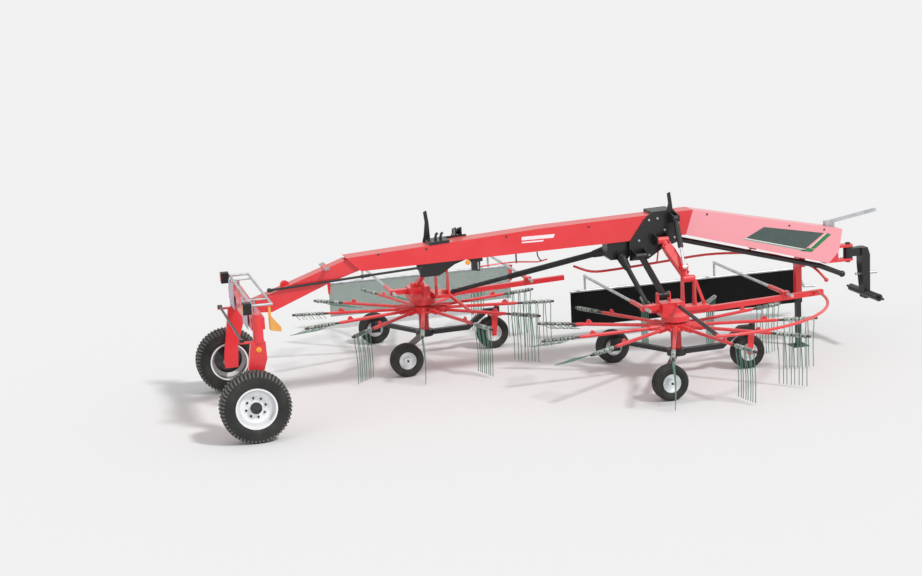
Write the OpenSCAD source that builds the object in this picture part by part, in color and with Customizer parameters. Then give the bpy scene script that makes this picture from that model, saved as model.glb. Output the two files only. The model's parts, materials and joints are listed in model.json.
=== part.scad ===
// Twin rotor side-delivery hay rake: bent box beam, steered rear portal axle, two lifting tined rotors.
// Working coordinates in the modules: X forward, Y to the machine's left, Z up, with zero on the ground
// under the middle of the rear axle. place() then moves every piece so that the origin lies on the ground
// under the middle of the machine's box.

/* [Rear axle] */
// Radius of a rear tyre
tyre_r = 380; // [360:5:400]
// Width of a rear tyre
tyre_w = 265; // [230:5:280]
// Radius of a rear rim's lip
rim_r = 225; // [205:5:240]
// Distance between the middle planes of the rear wheels
track = 2270; // [2240:10:2400]
// Distance of the kingpins ahead of the wheel centres
kingpin_x = 110; // [90:5:130]
// Thickness of a leg, across the machine
leg_t = 70; // [60:5:80]
// Free space between a leg and its tyre
leg_gap = 12; // [8:1:20]
// Radius of a kingpin
kingpin_r = 38; // [32:1:42]
// Underside of the kingpin sleeves
sleeve_z = 1060; // [1040:5:1100]
// Top of the kingpin sleeves
sleeve_top = 1310; // [1300:5:1330]
// Radius of a rear stub axle
stub_r = 30; // [25:1:35]

/* [Beam] */
// Width of the beam over its cladding
beam_w = 260; // [240:5:280]
// Thickness of the cladding sheet
sheet = 3; // [2:0.5:4]
// Rear end of the cladding's top edge
beam_back = 1253; // [1200:1:1300]
// Place of the bend between the level and the sloping part
apex_x = 5386; // [5340:2:5430]
// Front end of the cladding's top edge
beam_front = 7287; // [7250:1:7330]
// Height of the cladding's top edge at its rear end
back_top_z = 1683; // [1670:1:1700]
// Height of the cladding's top edge at the bend
apex_z = 1860; // [1840:1:1880]
// Height of the cladding's top edge at its front end
front_top_z = 1454; // [1440:1:1470]
// Width of the neck behind the beam
neck_w = 190; // [160:5:210]

/* [Hitch] */
// Distance from the front of the beam to the headstock's swivel pin
swivel_out = 133; // [125:1:160]
// Radius of the swivel pin
swivel_r = 30; // [25:1:34]
// Height of the lower link pins
link_pin_z = 620; // [560:5:680]
// Distance from one lower link ball to the other
link_pin_span = 825; // [800:5:870]
// Radius of a lower link pin
link_pin_r = 14; // [11:0.5:18.5]
// Radius of the power take-off stub
pto_r = 17.45; // [17.45:0.05:22]
// Height of the power take-off stub
pto_z = 860; // [820:5:900]
// Free length of the power take-off stub
pto_l = 110; // [100:1:120]

/* [Rotors] */
// Front rotor centre, ahead of the rear axle
front_x = 4978; // [4940:2:5020]
// Front rotor centre, to the right of the beam
front_off = 522; // [500:2:560]
// Rear rotor centre, ahead of the rear axle
rear_x = 2540; // [2500:2:2550]
// Rear rotor centre, to the left of the beam
rear_off = 1830; // [1800:2:1900]
// Radius of a rotor at the ends of its tine arms
rotor_r = 1636; // [1600:2:1650]
// Number of tine arms on the front rotor
front_arms = 11; // [9:1:12]
// Number of tine arms on the rear rotor
rear_arms = 12; // [9:1:13]
// Angle of the front rotor's first arm
front_turn = 18.4; // [0:0.1:32]
// Angle of the rear rotor's first arm
rear_turn = 16.3; // [0:0.1:29]
// Height of the tine arms
arm_z = 600; // [590:2:610]
// Radius of a tine arm's inner tube
arm_r = 20; // [17:0.5:22]
// Radius of a tine arm's outer tube
tip_r = 15; // [13:0.5:16]
// Distance of the tine tips from the ground
tine_gap = 25; // [15:1:60]
// Radius of the tine wire
wire_r = 4.75; // [4:0.25:5.5]
// Number of double tines on an arm
tine_pairs = 4; // [3:1:5]
// Distance from one double tine to the next
tine_pitch = 92; // [84:1:100]
// Roll of the tines that the cam lifts
tine_lift = 72; // [50:1:85]

/* [Rotor wheels] */
// Radius of a rotor wheel
small_r = 200; // [190:2:205]
// Width of a rotor wheel
small_w = 165; // [140:5:175]
// Distance of the two back wheels behind the rotor centre
back_wheel_x = 450; // [420:5:460]
// Distance of the two back wheels to either side of the rotor centre
back_wheel_y = 950; // [900:5:960]
// Distance of the castor's pin ahead of the rotor centre
castor_x = 950; // [930:5:980]
// Distance of the castor's wheel behind its pin
castor_trail = 70; // [60:5:80]

/* [Rotor arms] */
// Distance of the arm pins from the middle of the beam
pin_y = 260; // [250:5:280]
// Height of the upper arm's inner pin
upper_z = 1560; // [1550:5:1570]
// Height difference between the upper and the lower arm
arm_drop = 160; // [150:5:170]
// Fall of both arms from the beam to the rotor's frame
arm_fall = 440; // [430:5:450]
// Radius of an arm pin
pin_r = 18; // [15:0.5:22]
// Radius of the upper arm's tube
upper_r = 36; // [32:1:40]
// Half the width of the lower arm's bar
lower_r = 28; // [24:1:32]
// Running gap between moving pieces
gap = 0.3; // [0.2:0.05:0.4]

/* [Swath curtains] */
// Front curtain, to the left of the front rotor's centre
front_curtain_y = 2130; // [2050:10:2200]
// Rear curtain, to the left of the rear rotor's centre
rear_curtain_y = 1900; // [1850:10:2000]
// Height of the curtains' top rail
curtain_z = 655; // [640:5:680]
// Height of a curtain's cloth
curtain_h = 440; // [400:5:480]
// Thickness of a curtain's cloth
cloth_t = 6; // [5:1:10]

/* [Parking stand] */
// Place of the stand, ahead of the rear axle
stand_x = 6850; // [6820:5:6880]
// Place of the stand, to the left of the beam's middle
stand_y = 200; // [190:5:215]
// Width of the stand's inner leg
stand_w = 60; // [50:2:64]

/* [Hidden] */
$fn = 48;

red = [0.80, 0.05, 0.07];
black = [0.05, 0.05, 0.05];
steel = [0.72, 0.73, 0.75];
tine_green = [0.08, 0.25, 0.22];

// Extremes of the box, from the values above
hitch_x = beam_front + swivel_out;
box_back = -tyre_r;
box_front = hitch_x + 270 + pto_l;
hoop_path_r = 1720;
hoop_tube = 17;
box_right = -front_off - hoop_path_r - hoop_tube;
box_left = rear_off + rear_curtain_y + 17;
centre_x = (box_back + box_front) / 2;
centre_y = (box_right + box_left) / 2;

// Outline of the beam's cladding, seen from the right side
top_break = [3516, 1809];
back_low = [beam_back + 163, back_top_z - 163];
bend_low = [apex_x - 96, 1572];
nose_low = [beam_front - 182, front_top_z - 400];
nose_mid = [beam_front - 47, front_top_z - 268];
function slope_z(p, q, x) = p[1] + (q[1] - p[1]) * (x - p[0]) / (q[0] - p[0]);
function low_z(x) = x < bend_low[0] ? slope_z(back_low, bend_low, x) : slope_z(bend_low, nose_low, x);
function top_z(x) = x < top_break[0] ? slope_z([beam_back, back_top_z], top_break, x)
    : x < apex_x ? slope_z(top_break, [apex_x, apex_z], x)
    : slope_z([apex_x, apex_z], [beam_front, front_top_z], x);

// Legs and kingpins
leg_y = track / 2 - tyre_w / 2 - leg_gap - leg_t / 2;
steer_x = kingpin_x - 180;
rod_z = sleeve_z - 14 + gap;

// Rotor parts
head_low = arm_z - 40;
head_top = arm_z + 68 - gap;
box_z = head_top + gap;
hub_r = 62;
axle_z = small_r;
shaft_z = 800;

module place() { translate([-centre_x, -centre_y, 0]) children(); }
module along(p, q) {
    v = q - p;
    translate(p) rotate([0, acos(v[2] / norm(v)), atan2(v[1], v[0])]) children();
}
module bar(p, q, r) { along(p, q) cylinder(h = norm(q - p), r = r); }
module box_bar(p, q, w, d) { along(p, q) translate([-d / 2, -w / 2, 0]) cube([d, w, norm(q - p)]); }
module tube_path(points, r) {
    for (i = [0 : len(points) - 2]) bar(points[i], points[i + 1], r);
    for (i = [1 : len(points) - 2]) translate(points[i]) sphere(r = r + 1);
}
function unit(v) = v / norm(v);
// A point on a smooth curve through the list p, t of the way from point i to the next
function curve_point(p, i, t) =
    let(a = p[max(i - 1, 0)], b = p[i], c = p[i + 1], d = p[min(i + 2, len(p) - 1)])
    0.5 * (2 * b + (c - a) * t + (2 * a - 5 * b + 4 * c - d) * t * t + (3 * b - a - 3 * c + d) * t * t * t);
function curve(p, n) = [for (i = [0 : len(p) - 2]) for (k = [0 : n - 1]) curve_point(p, i, k / n), p[len(p) - 1]];
// A bent pipe of radius r along a path that is nowhere upright
module bent_pipe(path, r, sides = 12) {
    last = len(path) - 1;
    rings = [
        for (i = [0 : last])
            let(t = unit(path[min(i + 1, last)] - path[max(i - 1, 0)]), s = unit(cross(t, [0, 0, 1])), u = cross(s, t))
            for (k = [0 : sides - 1]) path[i] + r * (cos(360 * k / sides) * s + sin(360 * k / sides) * u)
    ];
    polyhedron(points = rings, faces = concat(
        [[for (k = [0 : sides - 1]) sides - 1 - k]],
        [[for (k = [0 : sides - 1]) last * sides + k]],
        [
            for (i = [0 : last - 1]) for (k = [0 : sides - 1]) let(m = (k + 1) % sides)
                [i * sides + k, i * sides + m, (i + 1) * sides + m, (i + 1) * sides + k]
        ]
    ));
}
// Extrudes an outline drawn in X and Z, w wide across the machine, about y
module side_plate(w, y = 0) { translate([0, y + w / 2, 0]) rotate([90, 0, 0]) linear_extrude(w) children(); }
// A round bar across the machine
module cross_pin(p, r, w) { translate(p) rotate([90, 0, 0]) cylinder(h = w, r = r, center = true); }
// A round bar along the machine
module long_pin(p, r, w) { translate(p) rotate([0, 90, 0]) cylinder(h = w, r = r, center = true); }

// Beam and neck
module outline(drop = 0) {
    polygon([
        back_low, bend_low, nose_low, nose_mid, [beam_front, front_top_z - drop],
        [apex_x, apex_z - drop], [top_break[0], top_break[1] - drop], [beam_back, back_top_z - drop]
    ]);
}
module cladding() {
    color(red) place() difference() {
        side_plate(beam_w) outline();
        side_plate(beam_w - 2 * sheet) polygon([
            [beam_back - 200, 1000], [beam_front + 100, 900],
            [beam_front + 100, top_z(beam_front + 100) - sheet],
            [apex_x, apex_z - sheet], [top_break[0], top_break[1] - sheet],
            [beam_back - 200, top_z(beam_back - 200) - sheet]
        ]);
    }
}
beam_start = beam_back + 180;
module main_beam() {
    color(red) place() {
        side_plate(beam_w - 2 * sheet - 20) polygon([
            [beam_start, low_z(beam_start)], bend_low, nose_low, nose_mid,
            [beam_front - 10, top_z(beam_front - 10) - sheet - gap], [apex_x, apex_z - sheet - gap],
            [top_break[0], top_break[1] - sheet - gap], [beam_start, top_z(beam_start) - sheet - gap]
        ]);
        nose();
        stand_sleeve();
    }
}
// The two lugs that hold the swivel pin, and the hanger of the drive shaft
lug_high = 1240;
lug_low = 1040;
module nose() {
    for (z = [lug_low, lug_high - 30]) difference() {
        union() {
            translate([beam_front - 200, -60, z]) cube([200 + swivel_out, 120, 30]);
            translate([hitch_x, 0, z]) cylinder(h = 30, r = 60);
        }
        translate([hitch_x, 0, z - 1]) cylinder(h = 32, r = swivel_r + gap);
    }
    side_plate(120) polygon([
        [beam_front - 200, lug_low], [beam_front - 20, lug_low], [beam_front - 20, lug_high],
        [beam_front - 60, 1300], [beam_front - 200, 1300]
    ]);
}
neck_top = [[beam_start, top_z(beam_start) - 30], [1240, 1655], [534, 1411], [240, 1312]];
neck_low = [[190, 1170], [392, 1154], [1098, 1433], [beam_start, low_z(beam_start) + 15]];
module neck() {
    color(red) place() {
        side_plate(neck_w) polygon(concat(neck_low, neck_top, [[190, 1295]]));
        side_plate(40) translate([565, 1428]) circle(r = 52);
        translate([1030, 0, 1582]) rotate([0, -19, 0]) translate([-30, -190, 0]) cube([60, 410, 12]);
    }
}

// Rear portal
module cross_beam() {
    color(red) place() difference() {
        union() {
            translate([kingpin_x - 65, -leg_y, 1160]) cube([190 - kingpin_x + 65, 2 * leg_y, 130]);
            for (s = [-1, 1]) translate([kingpin_x, s * leg_y, sleeve_z])
                cylinder(h = sleeve_top - sleeve_z, r = 56);
        }
        for (s = [-1, 1]) translate([kingpin_x, s * leg_y, sleeve_z - 1])
            cylinder(h = sleeve_top - sleeve_z + 2, r = kingpin_r + gap);
    }
}
module knuckle(s) {
    y = s * leg_y;
    translate([kingpin_x, y, sleeve_z - 30]) cylinder(h = sleeve_top - sleeve_z + 52, r = kingpin_r);
    translate([kingpin_x, y, sleeve_z - 30]) cylinder(h = 30 - gap, r = 58);
    translate([kingpin_x, y, sleeve_top + gap]) cylinder(h = 22, r = 52);
    side_plate(leg_t, y) polygon([
        [kingpin_x - 90, sleeve_z - 30], [kingpin_x + 68, sleeve_z - 30], [kingpin_x + 74, 850],
        [kingpin_x - 5, 600], [86, tyre_r - 50], [-66, tyre_r - 50], [-68, 460]
    ]);
    cross_pin([0, s * (leg_y + leg_t / 2 + 105), tyre_r], stub_r, 210);
    translate([steer_x, y - 30, sleeve_z - 30]) cube([kingpin_x - steer_x, 60, 16]);
    translate([steer_x, y, sleeve_z - 30]) cylinder(h = 16, r = 30);
    translate([steer_x, y, sleeve_z - 20]) cylinder(h = 38, r = 12);
}
module knuckle_left() { color(red) place() knuckle(1); }
module knuckle_right() { color(red) place() knuckle(-1); }
module track_rod() {
    color(black) place() {
        difference() {
            union() {
                bar([steer_x, -leg_y, rod_z + 16], [steer_x, leg_y, rod_z + 16], 14);
                for (s = [-1, 1]) translate([steer_x, s * leg_y, rod_z]) cylinder(h = 32, r = 28);
            }
            for (s = [-1, 1]) translate([steer_x, s * leg_y, rod_z - 1]) cylinder(h = 34, r = 12 + gap);
        }
    }
}
rim_w = tyre_w - 35;
module rim() {
    rotate_extrude($fn = 72) polygon([
        [rim_r - 20, -rim_w / 2], [rim_r, -rim_w / 2], [rim_r, -rim_w / 2 + 8], [rim_r - 12, -rim_w / 2 + 15],
        [rim_r - 12, rim_w / 2 - 15], [rim_r, rim_w / 2 - 8], [rim_r, rim_w / 2], [rim_r - 20, rim_w / 2]
    ]);
    rotate_extrude($fn = 72) polygon([
        [stub_r + gap, -rim_w / 2 + 12], [70, -rim_w / 2 + 12], [70, 20], [rim_r - 60, 34], [rim_r - 14, 4],
        [rim_r - 14, 14], [rim_r - 58, 44], [85, 32], [62, 36], [62, 75], [stub_r + gap, 75]
    ]);
}
module tyre() {
    h = tyre_w / 2;
    seat = rim_r - 12 + gap;
    rotate_extrude($fn = 48) polygon([
        [seat, -rim_w / 2 + 16], [rim_r + 1, -rim_w / 2 + 8], [rim_r + 20, -h + 5], [rim_r + 70, -h],
        [tyre_r - 30, -h + 8], [tyre_r, -h + 40], [tyre_r, h - 40], [tyre_r - 30, h - 8],
        [rim_r + 70, h], [rim_r + 20, h - 5], [rim_r + 1, rim_w / 2 - 8], [seat, rim_w / 2 - 16]
    ]);
}
module at_wheel(s) { translate([0, s * track / 2, tyre_r]) rotate([-90 * s, 0, 0]) children(); }
module rim_left() { color(steel) place() at_wheel(1) rim(); }
module rim_right() { color(steel) place() at_wheel(-1) rim(); }
module tyre_left() { color(black) place() at_wheel(1) tyre(); }
module tyre_right() { color(black) place() at_wheel(-1) tyre(); }

// Rear lighting
hoop_z = 1420;
hoop_x = [70, 280];
hoop_y = leg_y - 30.5;
hoop_r = 14;
module lamp_frame() {
    ring = [
        [hoop_x[0], -hoop_y, hoop_z], [hoop_x[1], -hoop_y, hoop_z], [hoop_x[1], hoop_y, hoop_z],
        [hoop_x[0], hoop_y, hoop_z], [hoop_x[0], -hoop_y, hoop_z]
    ];
    color(steel) place() {
        tube_path(ring, hoop_r);
        translate(ring[0]) sphere(r = hoop_r);
        for (y = [-1, 1] * (hoop_y - 305)) {
            bar([hoop_x[0], y, hoop_z], [hoop_x[1], y, hoop_z], 10);
            bar([kingpin_x + 20, y, 1290], [kingpin_x + 20, y, hoop_z], 12);
        }
    }
}
module lamps() {
    color(black) place() for (s = [-1, 1])
        translate([hoop_x[0] - hoop_r - gap - 90, s * (hoop_y + 20) - 55, 1340]) cube([90, 110, 120]);
}
board_h = 280;
module marker_boards() {
    color([0.9, 0.9, 0.9]) place() for (s = [-1, 1]) {
        translate([30, s * (hoop_y - 365) - 210, hoop_z - 10 - board_h]) cube([4, 420, board_h]);
        for (y = [-140, 140]) translate([34, s * (hoop_y - 365) + y - 15, hoop_z - 30])
            cube([hoop_x[0] - hoop_r - gap - 34, 30, 30]);
    }
}
module wheel_chock() {
    color([0.9, 0.6, 0.1]) place() translate([0, -neck_w / 2 - 65, 0]) {
        side_plate(110) polygon([[345, 975], [465, 950], [465, 1000], [375, 1115], [345, 1115]]);
        translate([345, 50, 1070]) cube([30, 15 - gap, 150]);
    }
}

// Drive line below the beam
box_x = [4330, 4620];
box_low = 1350;
line_drop = 62;
line_r = 32;
line_points = [
    [box_x[1] - 20, 0, 1470], [bend_low[0] - 60, 0, bend_low[1] - line_drop],
    [7050, 0, low_z(7050) - line_drop], [hitch_x - 80, 0, 880]
];
// Drive shafts to the rotors, as their first and last joint. The joint at the gearbox turns on a stub of its own.
stub_out = 30;
front_shaft_r = 30;
rear_shaft_r = 35;
yoke = 6;
// Clearance of the joints at the rotors, which drift from their seats as a rotor lifts
front_drift = 24;
rear_drift = 26;
front_shaft_ends = [
    [4470, -90 - stub_out - front_shaft_r - yoke - gap, 1400],
    [front_x - 262, -front_off + 68 + front_shaft_r + front_drift, shaft_z]
];
rear_shaft_ends = [
    [box_x[0] + 60, 90 + stub_out + rear_shaft_r + yoke + gap, 1420],
    [rear_x + 282 + rear_shaft_r + rear_drift, rear_off - 227, shaft_z + 20]
];
module drive_line() {
    color(black) place() {
        for (p = [front_shaft_ends[0], rear_shaft_ends[0]])
            translate([p[0], 0, p[2]]) rotate([p[1] > 0 ? -90 : 90, 0, 0]) cylinder(h = 90 + stub_out, r = 24);
        side_plate(180) polygon([
            [box_x[0], box_low + 40], [box_x[0] + 40, box_low],
            [box_x[1] - 40, box_low], [box_x[1], box_low + 60],
            [box_x[1], low_z(box_x[1]) - gap], [box_x[0], low_z(box_x[0]) - gap]
        ]);
        tube_path(line_points, line_r);
        translate(line_points[3]) sphere(r = line_r + 8);
    }
}
module hose_arm() {
    rise = top_z(beam_front - 160);
    color(steel) place() {
        box_bar([beam_front - 140, 0, rise + 40], [beam_front + 500, 0, 1630], 50, 34);
        side_plate(80) polygon([
            [beam_front - 170, top_z(beam_front - 170) + gap], [beam_front - 60, top_z(beam_front - 60) + gap],
            [beam_front - 60, rise + 60], [beam_front - 170, rise + 60]
        ]);
    }
}
rail_points = [
    [4100, 480, 1210], [4230, 210, 1180], [4500, 170, 1185], [5050, 220, 1205], [5700, 300, 1225],
    [6216, 341, 1190], [6584, 459, 1120], [6790, 460, 1060], [6890, 370, 1030],
    [6985, 45, 990], [7060, -150, 860]
];
module guard_rail() {
    color(red) place() {
        bent_pipe(curve(rail_points, 4), 15);
        translate(rail_points[10]) sphere(r = 26);
        rail_hanger(rail_points[3]);
        rail_hanger(rail_points[5]);
    }
}
// A foot under the beam and a bar from it to point p of the rail
module rail_hanger(p) {
    side_plate(50, 90) polygon([
        [p[0] - 40, low_z(p[0] - 40) - gap], [p[0] + 40, low_z(p[0] + 40) - gap],
        [p[0] + 40, low_z(p[0] + 40) - 30], [p[0] - 40, low_z(p[0] - 40) - 30]
    ]);
    bar([p[0], 90, low_z(p[0]) - 18], p, 9);
}

// Parking stand
stand_top = 1090;
module stand_leg() {
    color(black) place() {
        translate([stand_x - stand_w / 2, stand_y - stand_w / 2, 10]) cube([stand_w, stand_w, 890]);
        translate([stand_x - 100, stand_y - 100, 0]) cube([200, 200, 10]);
    }
}
module stand_sleeve() {
    w = stand_w + 2 * gap;
    difference() {
        union() {
            translate([stand_x - w / 2 - 8, stand_y - w / 2 - 8, 640]) cube([w + 16, w + 16, stand_top - 640]);
            side_plate(stand_y - 60, stand_y / 2 + 30) polygon([
                [stand_x - 38, stand_top - 90], [stand_x + 38, stand_top - 90],
                [stand_x + 38, low_z(stand_x + 38)], [stand_x - 38, low_z(stand_x - 38)]
            ]);
        }
        translate([stand_x - w / 2, stand_y - w / 2, 600]) cube([w, w, 800]);
    }
}

// Headstock
module headstock() {
    color(black) place() difference() {
        union() {
            translate([hitch_x, 0, lug_low - 20]) cylinder(h = lug_high - lug_low + 40, r = swivel_r);
            translate([hitch_x, 0, lug_low + 30 + gap]) cylinder(h = lug_high - lug_low - 60 - 2 * gap, r = 56);
            translate([hitch_x, -50, lug_low + 50]) cube([230, 100, lug_high - lug_low - 100]);
            side_plate(140) polygon([
                [hitch_x + 150, lug_low - 60], [hitch_x + 190, 560],
                [hitch_x + 260, 560], [hitch_x + 260, 1100],
                [hitch_x + 230, lug_high - 50], [hitch_x + 150, lug_high - 50]
            ]);
            cross_pin([hitch_x + 225, 0, link_pin_z], 45, link_pin_span - 100);
            cross_pin([hitch_x + 225, 0, link_pin_z], link_pin_r, link_pin_span + 100);
        }
        long_pin([hitch_x + 200, 0, pto_z], pto_r - 2 + gap, 300);
    }
}
module pto_stub() {
    color(steel) place() {
        long_pin([hitch_x + 185, 0, pto_z], pto_r - 2, 170);
        translate([hitch_x + 260 + gap, 0, pto_z]) rotate([0, 90, 0]) cylinder(h = 10 - gap, r = pto_r + 10);
        translate([hitch_x + 265, 0, pto_z]) rotate([0, 90, 0]) cylinder(h = pto_l + 5, r = pto_r);
    }
}

// Arms between the beam and the rotors. s is 1 to the left of the beam and -1 to the right.
// Columns of a side: rotor centre x, side s, sideways reach of the arms, place of the lift cylinder on its arm,
// back end, front end and hook of the bracket's cap, from the rotor's centre
front = [front_x, -1, front_off - 62 - pin_y, 0.75, -105, 167, 118];
rear = [rear_x, 1, rear_off - 270 - pin_y, 0.5, -330, -90, -290];
upper_x = -28;
upper_lean = 220;
lower_x = -298;
lower_lean = 180;
eye_w = 130;
ear_t = 14;
ram_top_z = 1800;
ram_lug = 96;
ram_r = 32;
ram_rod_r = 16;
ram_eye_w = 50;
function upper_pin(a) = [a[0] + upper_x, a[1] * pin_y, upper_z];
function lower_pin(a) = [a[0] + lower_x, a[1] * pin_y, upper_z - arm_drop];
function upper_out(a) = upper_pin(a) + [upper_lean, a[1] * a[2], -arm_fall];
function lower_out(a) = lower_pin(a) + [lower_lean, a[1] * a[2], -arm_fall];
function on_arm(a) = upper_pin(a) + a[3] * (upper_out(a) - upper_pin(a));
function ram_eye(a) = on_arm(a) + ram_lug * [0, a[1] * arm_fall, a[2]] / norm([arm_fall, a[2]]);
function ram_pin(a) = [ram_eye(a)[0], a[1] * pin_y, ram_top_z];

module ear_pair(p, w) {
    for (k = [-1, 1]) translate([p[0] + k * (w / 2 + gap + ear_t / 2), 0, 0]) rotate([90, 0, 90])
        linear_extrude(ear_t, center = true) children();
}
module bracket_ears(p, s, w) {
    root = s * (beam_w / 2 + 6);
    ear_pair(p, w) polygon([
        [root, p[2] - 70], [p[1] + s * 34, p[2] - 34], [p[1] + s * 34, p[2] + 34], [root, p[2] + 70]
    ]);
    long_pin(p, pin_r, w + 2 * ear_t + 2 * gap + 12);
}
module bracket(a) {
    cx = a[0];
    s = a[1];
    half = beam_w / 2;
    y = s * (half + 6 + gap);
    x0 = cx + a[4];
    x1 = cx + a[5];
    hook = cx + a[6];
    side_plate(12, y) polygon([
        [cx - 395, 1545], [min(cx - 206, x0), 1800], [x0, top_z(x0) + 34], [max(cx + 167, x1), top_z(x1) + 34],
        [cx + 231, 1513], [cx + 17, 1444], [cx - 170, 1330], [cx - 395, 1330]
    ]);
    if (s < 0) side_plate(12, -y) polygon([
        [x0, low_z(x0) - 20], [x0, top_z(x0) + 34], [x1, top_z(x1) + 34], [x1, low_z(x1) - 20]
    ]);
    side_plate(2 * half + 14) polygon([
        [x0 + 6, top_z(x0 + 6) + gap], [x1 - 6, top_z(x1 - 6) + gap],
        [x1 - 6, top_z(x1 - 6) + 32], [x0 + 6, top_z(x0 + 6) + 32]
    ]);
    bracket_ears(upper_pin(a), s, eye_w);
    bracket_ears(lower_pin(a), s, eye_w);
    bracket_ears(ram_pin(a), s, ram_eye_w);
    side_plate(14, s * (half + 4)) polygon([
        [hook - 45, top_z(hook) + 20], [hook + 35, top_z(hook) + 20], [hook + 26, 1960], [hook + 8, 2095],
        [hook - 30, 2080], [hook - 18, 1960]
    ]);
}
module arm_brackets() {
    color(black) place() {
        bracket(front);
        bracket(rear);
    }
}
module lift_arm(a) {
    p = upper_pin(a);
    q = upper_out(a);
    e = ram_eye(a);
    difference() {
        union() {
            bar(p, q, upper_r);
            long_pin(p, upper_r + 4, eye_w);
            long_pin(q, upper_r + 4, eye_w);
            for (k = [-1, 1]) translate([k * (ram_eye_w / 2 + gap + 5), 0, 0])
                box_bar(on_arm(a), e + (e - on_arm(a)) * 0.3, 10, 60);
        }
        long_pin(p, pin_r + gap, eye_w + 60);
        long_pin(q, pin_r + gap, eye_w + 60);
    }
    for (k = [-1, 1]) long_pin(e + [k * (ram_eye_w / 2 + gap + 9), 0, 0], pin_r - 2, 18);
}
module lift_link(a) {
    p = lower_pin(a);
    q = lower_out(a);
    difference() {
        union() {
            box_bar(p, q, 2 * lower_r, 2 * lower_r);
            long_pin(p, lower_r + 6, eye_w);
            long_pin(q, lower_r + 6, eye_w);
        }
        long_pin(p, pin_r + gap, eye_w + 60);
        long_pin(q, pin_r + gap, eye_w + 60);
    }
}
module ram_barrel(a) {
    p = ram_pin(a);
    q = ram_eye(a);
    n = (q - p) / norm(q - p);
    difference() {
        union() {
            bar(p + n * 20, p + n * 72, ram_eye_w / 2 - 3);
            bar(p + n * 66, p + n * (norm(q - p) * 0.6), ram_r);
            long_pin(p, 34, ram_eye_w);
        }
        long_pin(p, pin_r + gap, ram_eye_w + 10);
        bar(p + n * 90, q, ram_rod_r + gap);
    }
}
module ram_rod(a) {
    p = ram_pin(a);
    q = ram_eye(a);
    n = (q - p) / norm(q - p);
    difference() {
        union() {
            bar(p + n * (norm(q - p) * 0.45), q, ram_rod_r);
            long_pin(q, 30, ram_eye_w);
        }
        long_pin(q, pin_r - 2 + gap, ram_eye_w + 10);
    }
}
module front_arm() { color(red) place() lift_arm(front); }
module rear_arm() { color(red) place() lift_arm(rear); }
module front_link() { color(black) place() lift_link(front); }
module rear_link() { color(black) place() lift_link(rear); }
module front_cylinder() { color(black) place() ram_barrel(front); }
module rear_cylinder() { color(black) place() ram_barrel(rear); }
module front_rod() { color(steel) place() ram_rod(front); }
module rear_rod() { color(steel) place() ram_rod(rear); }

// Rotor frames, drawn about the rotor's own centre. s is 1 where the beam lies to the right.
module at_front() { place() translate([front_x, -front_off, 0]) children(); }
module at_rear() { place() translate([rear_x, rear_off, 0]) children(); }
front_pin_y = 62;
rear_pin_y = -270;
bar_back = [60, 0, 742];
bar_front = [1850, 0, 808];
mast_top = 890;
slide_z = 842;
slide_r = 18;
slide_x = [-380, 1372];
module carrier_ears(x, y, z) {
    ear_pair([x, y, z], eye_w) polygon([[y - 60, 780], [y + 60, 780], [y + 32, z + 32], [y - 32, z + 32]]);
    long_pin([x, y, z], pin_r, eye_w + 2 * ear_t + 2 * gap + 12);
}
module slide_sleeve(x) {
    difference() {
        union() {
            translate([x, -60, slide_z]) rotate([-90, 0, 0]) cylinder(h = 480, r = 26);
            children();
        }
        translate([x, -80, slide_z]) rotate([-90, 0, 0]) cylinder(h = 540, r = slide_r + gap);
    }
}
// brace is how far the slanting stay ahead of the upper ears reaches
module carrier(ear_y, brace = 0) {
    ear_x = upper_x + upper_lean;
    low_y = min(ear_y - 60, -60);
    high_y = max(ear_y + 60, 60);
    translate([0, 0, box_z]) cylinder(h = 60, r = 165);
    translate([0, 0, box_z + 60]) cylinder(h = 40, r1 = 165, r2 = 110);
    translate([-190, -100, box_z + 60]) cube([270, 200, mast_top - box_z - 60]);
    box_bar(bar_back, bar_front, 60, 60);
    translate([ear_x - 90, low_y, 772]) cube([180 + brace, high_y - low_y, 40]);
    if (brace > 0) box_bar([ear_x + eye_w / 2 + ear_t + 9, ear_y, upper_z - arm_fall - 24],
        [ear_x + 70 + brace, ear_y, 790], 44, 26);
    translate([lower_x + lower_lean - 90, low_y, 772]) cube([180, high_y - low_y, 40]);
    carrier_ears(upper_x + upper_lean, ear_y, upper_z - arm_fall);
    carrier_ears(lower_x + lower_lean, ear_y, upper_z - arm_drop - arm_fall);
    slide_sleeve(slide_x[0]) translate([slide_x[0] - 32, -48, slide_z - 32]) cube([-154 - slide_x[0], 96, 61]);
    slide_sleeve(slide_x[1]) translate([slide_x[1] - 42, -37, slide_z - 52]) cube([84, 74, 74]);
}
hoop_path_z = 850;
strut_r = 20;
module near_hoop() {
    translate([0, 0, hoop_path_z]) rotate([0, 0, -97]) rotate_extrude(angle = 93, $fn = 96)
        translate([hoop_path_r, 0]) circle(r = hoop_tube, $fn = 24);
    rotate([0, 0, -96]) bar([hoop_path_r, 0, hoop_path_z], [60, 0, 860], strut_r);
    bar(hoop_path_r * [cos(5), -sin(5), 0] + [0, 0, hoop_path_z], [hoop_path_r + 20, 0, 805], strut_r);
}
module front_carrier() {
    color(red) at_front() {
        carrier(front_pin_y, 130);
        near_hoop();
        translate([-306, 0, shaft_z - 30]) cube([120, 70, 58]);
    }
}
module rear_carrier() {
    color(red) at_rear() {
        carrier(rear_pin_y);
        bar([380, -1000, 700], [300, -20, 770], 20);
        translate([200, -262, shaft_z - 15]) cube([84, 70, 70]);
    }
}

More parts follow.
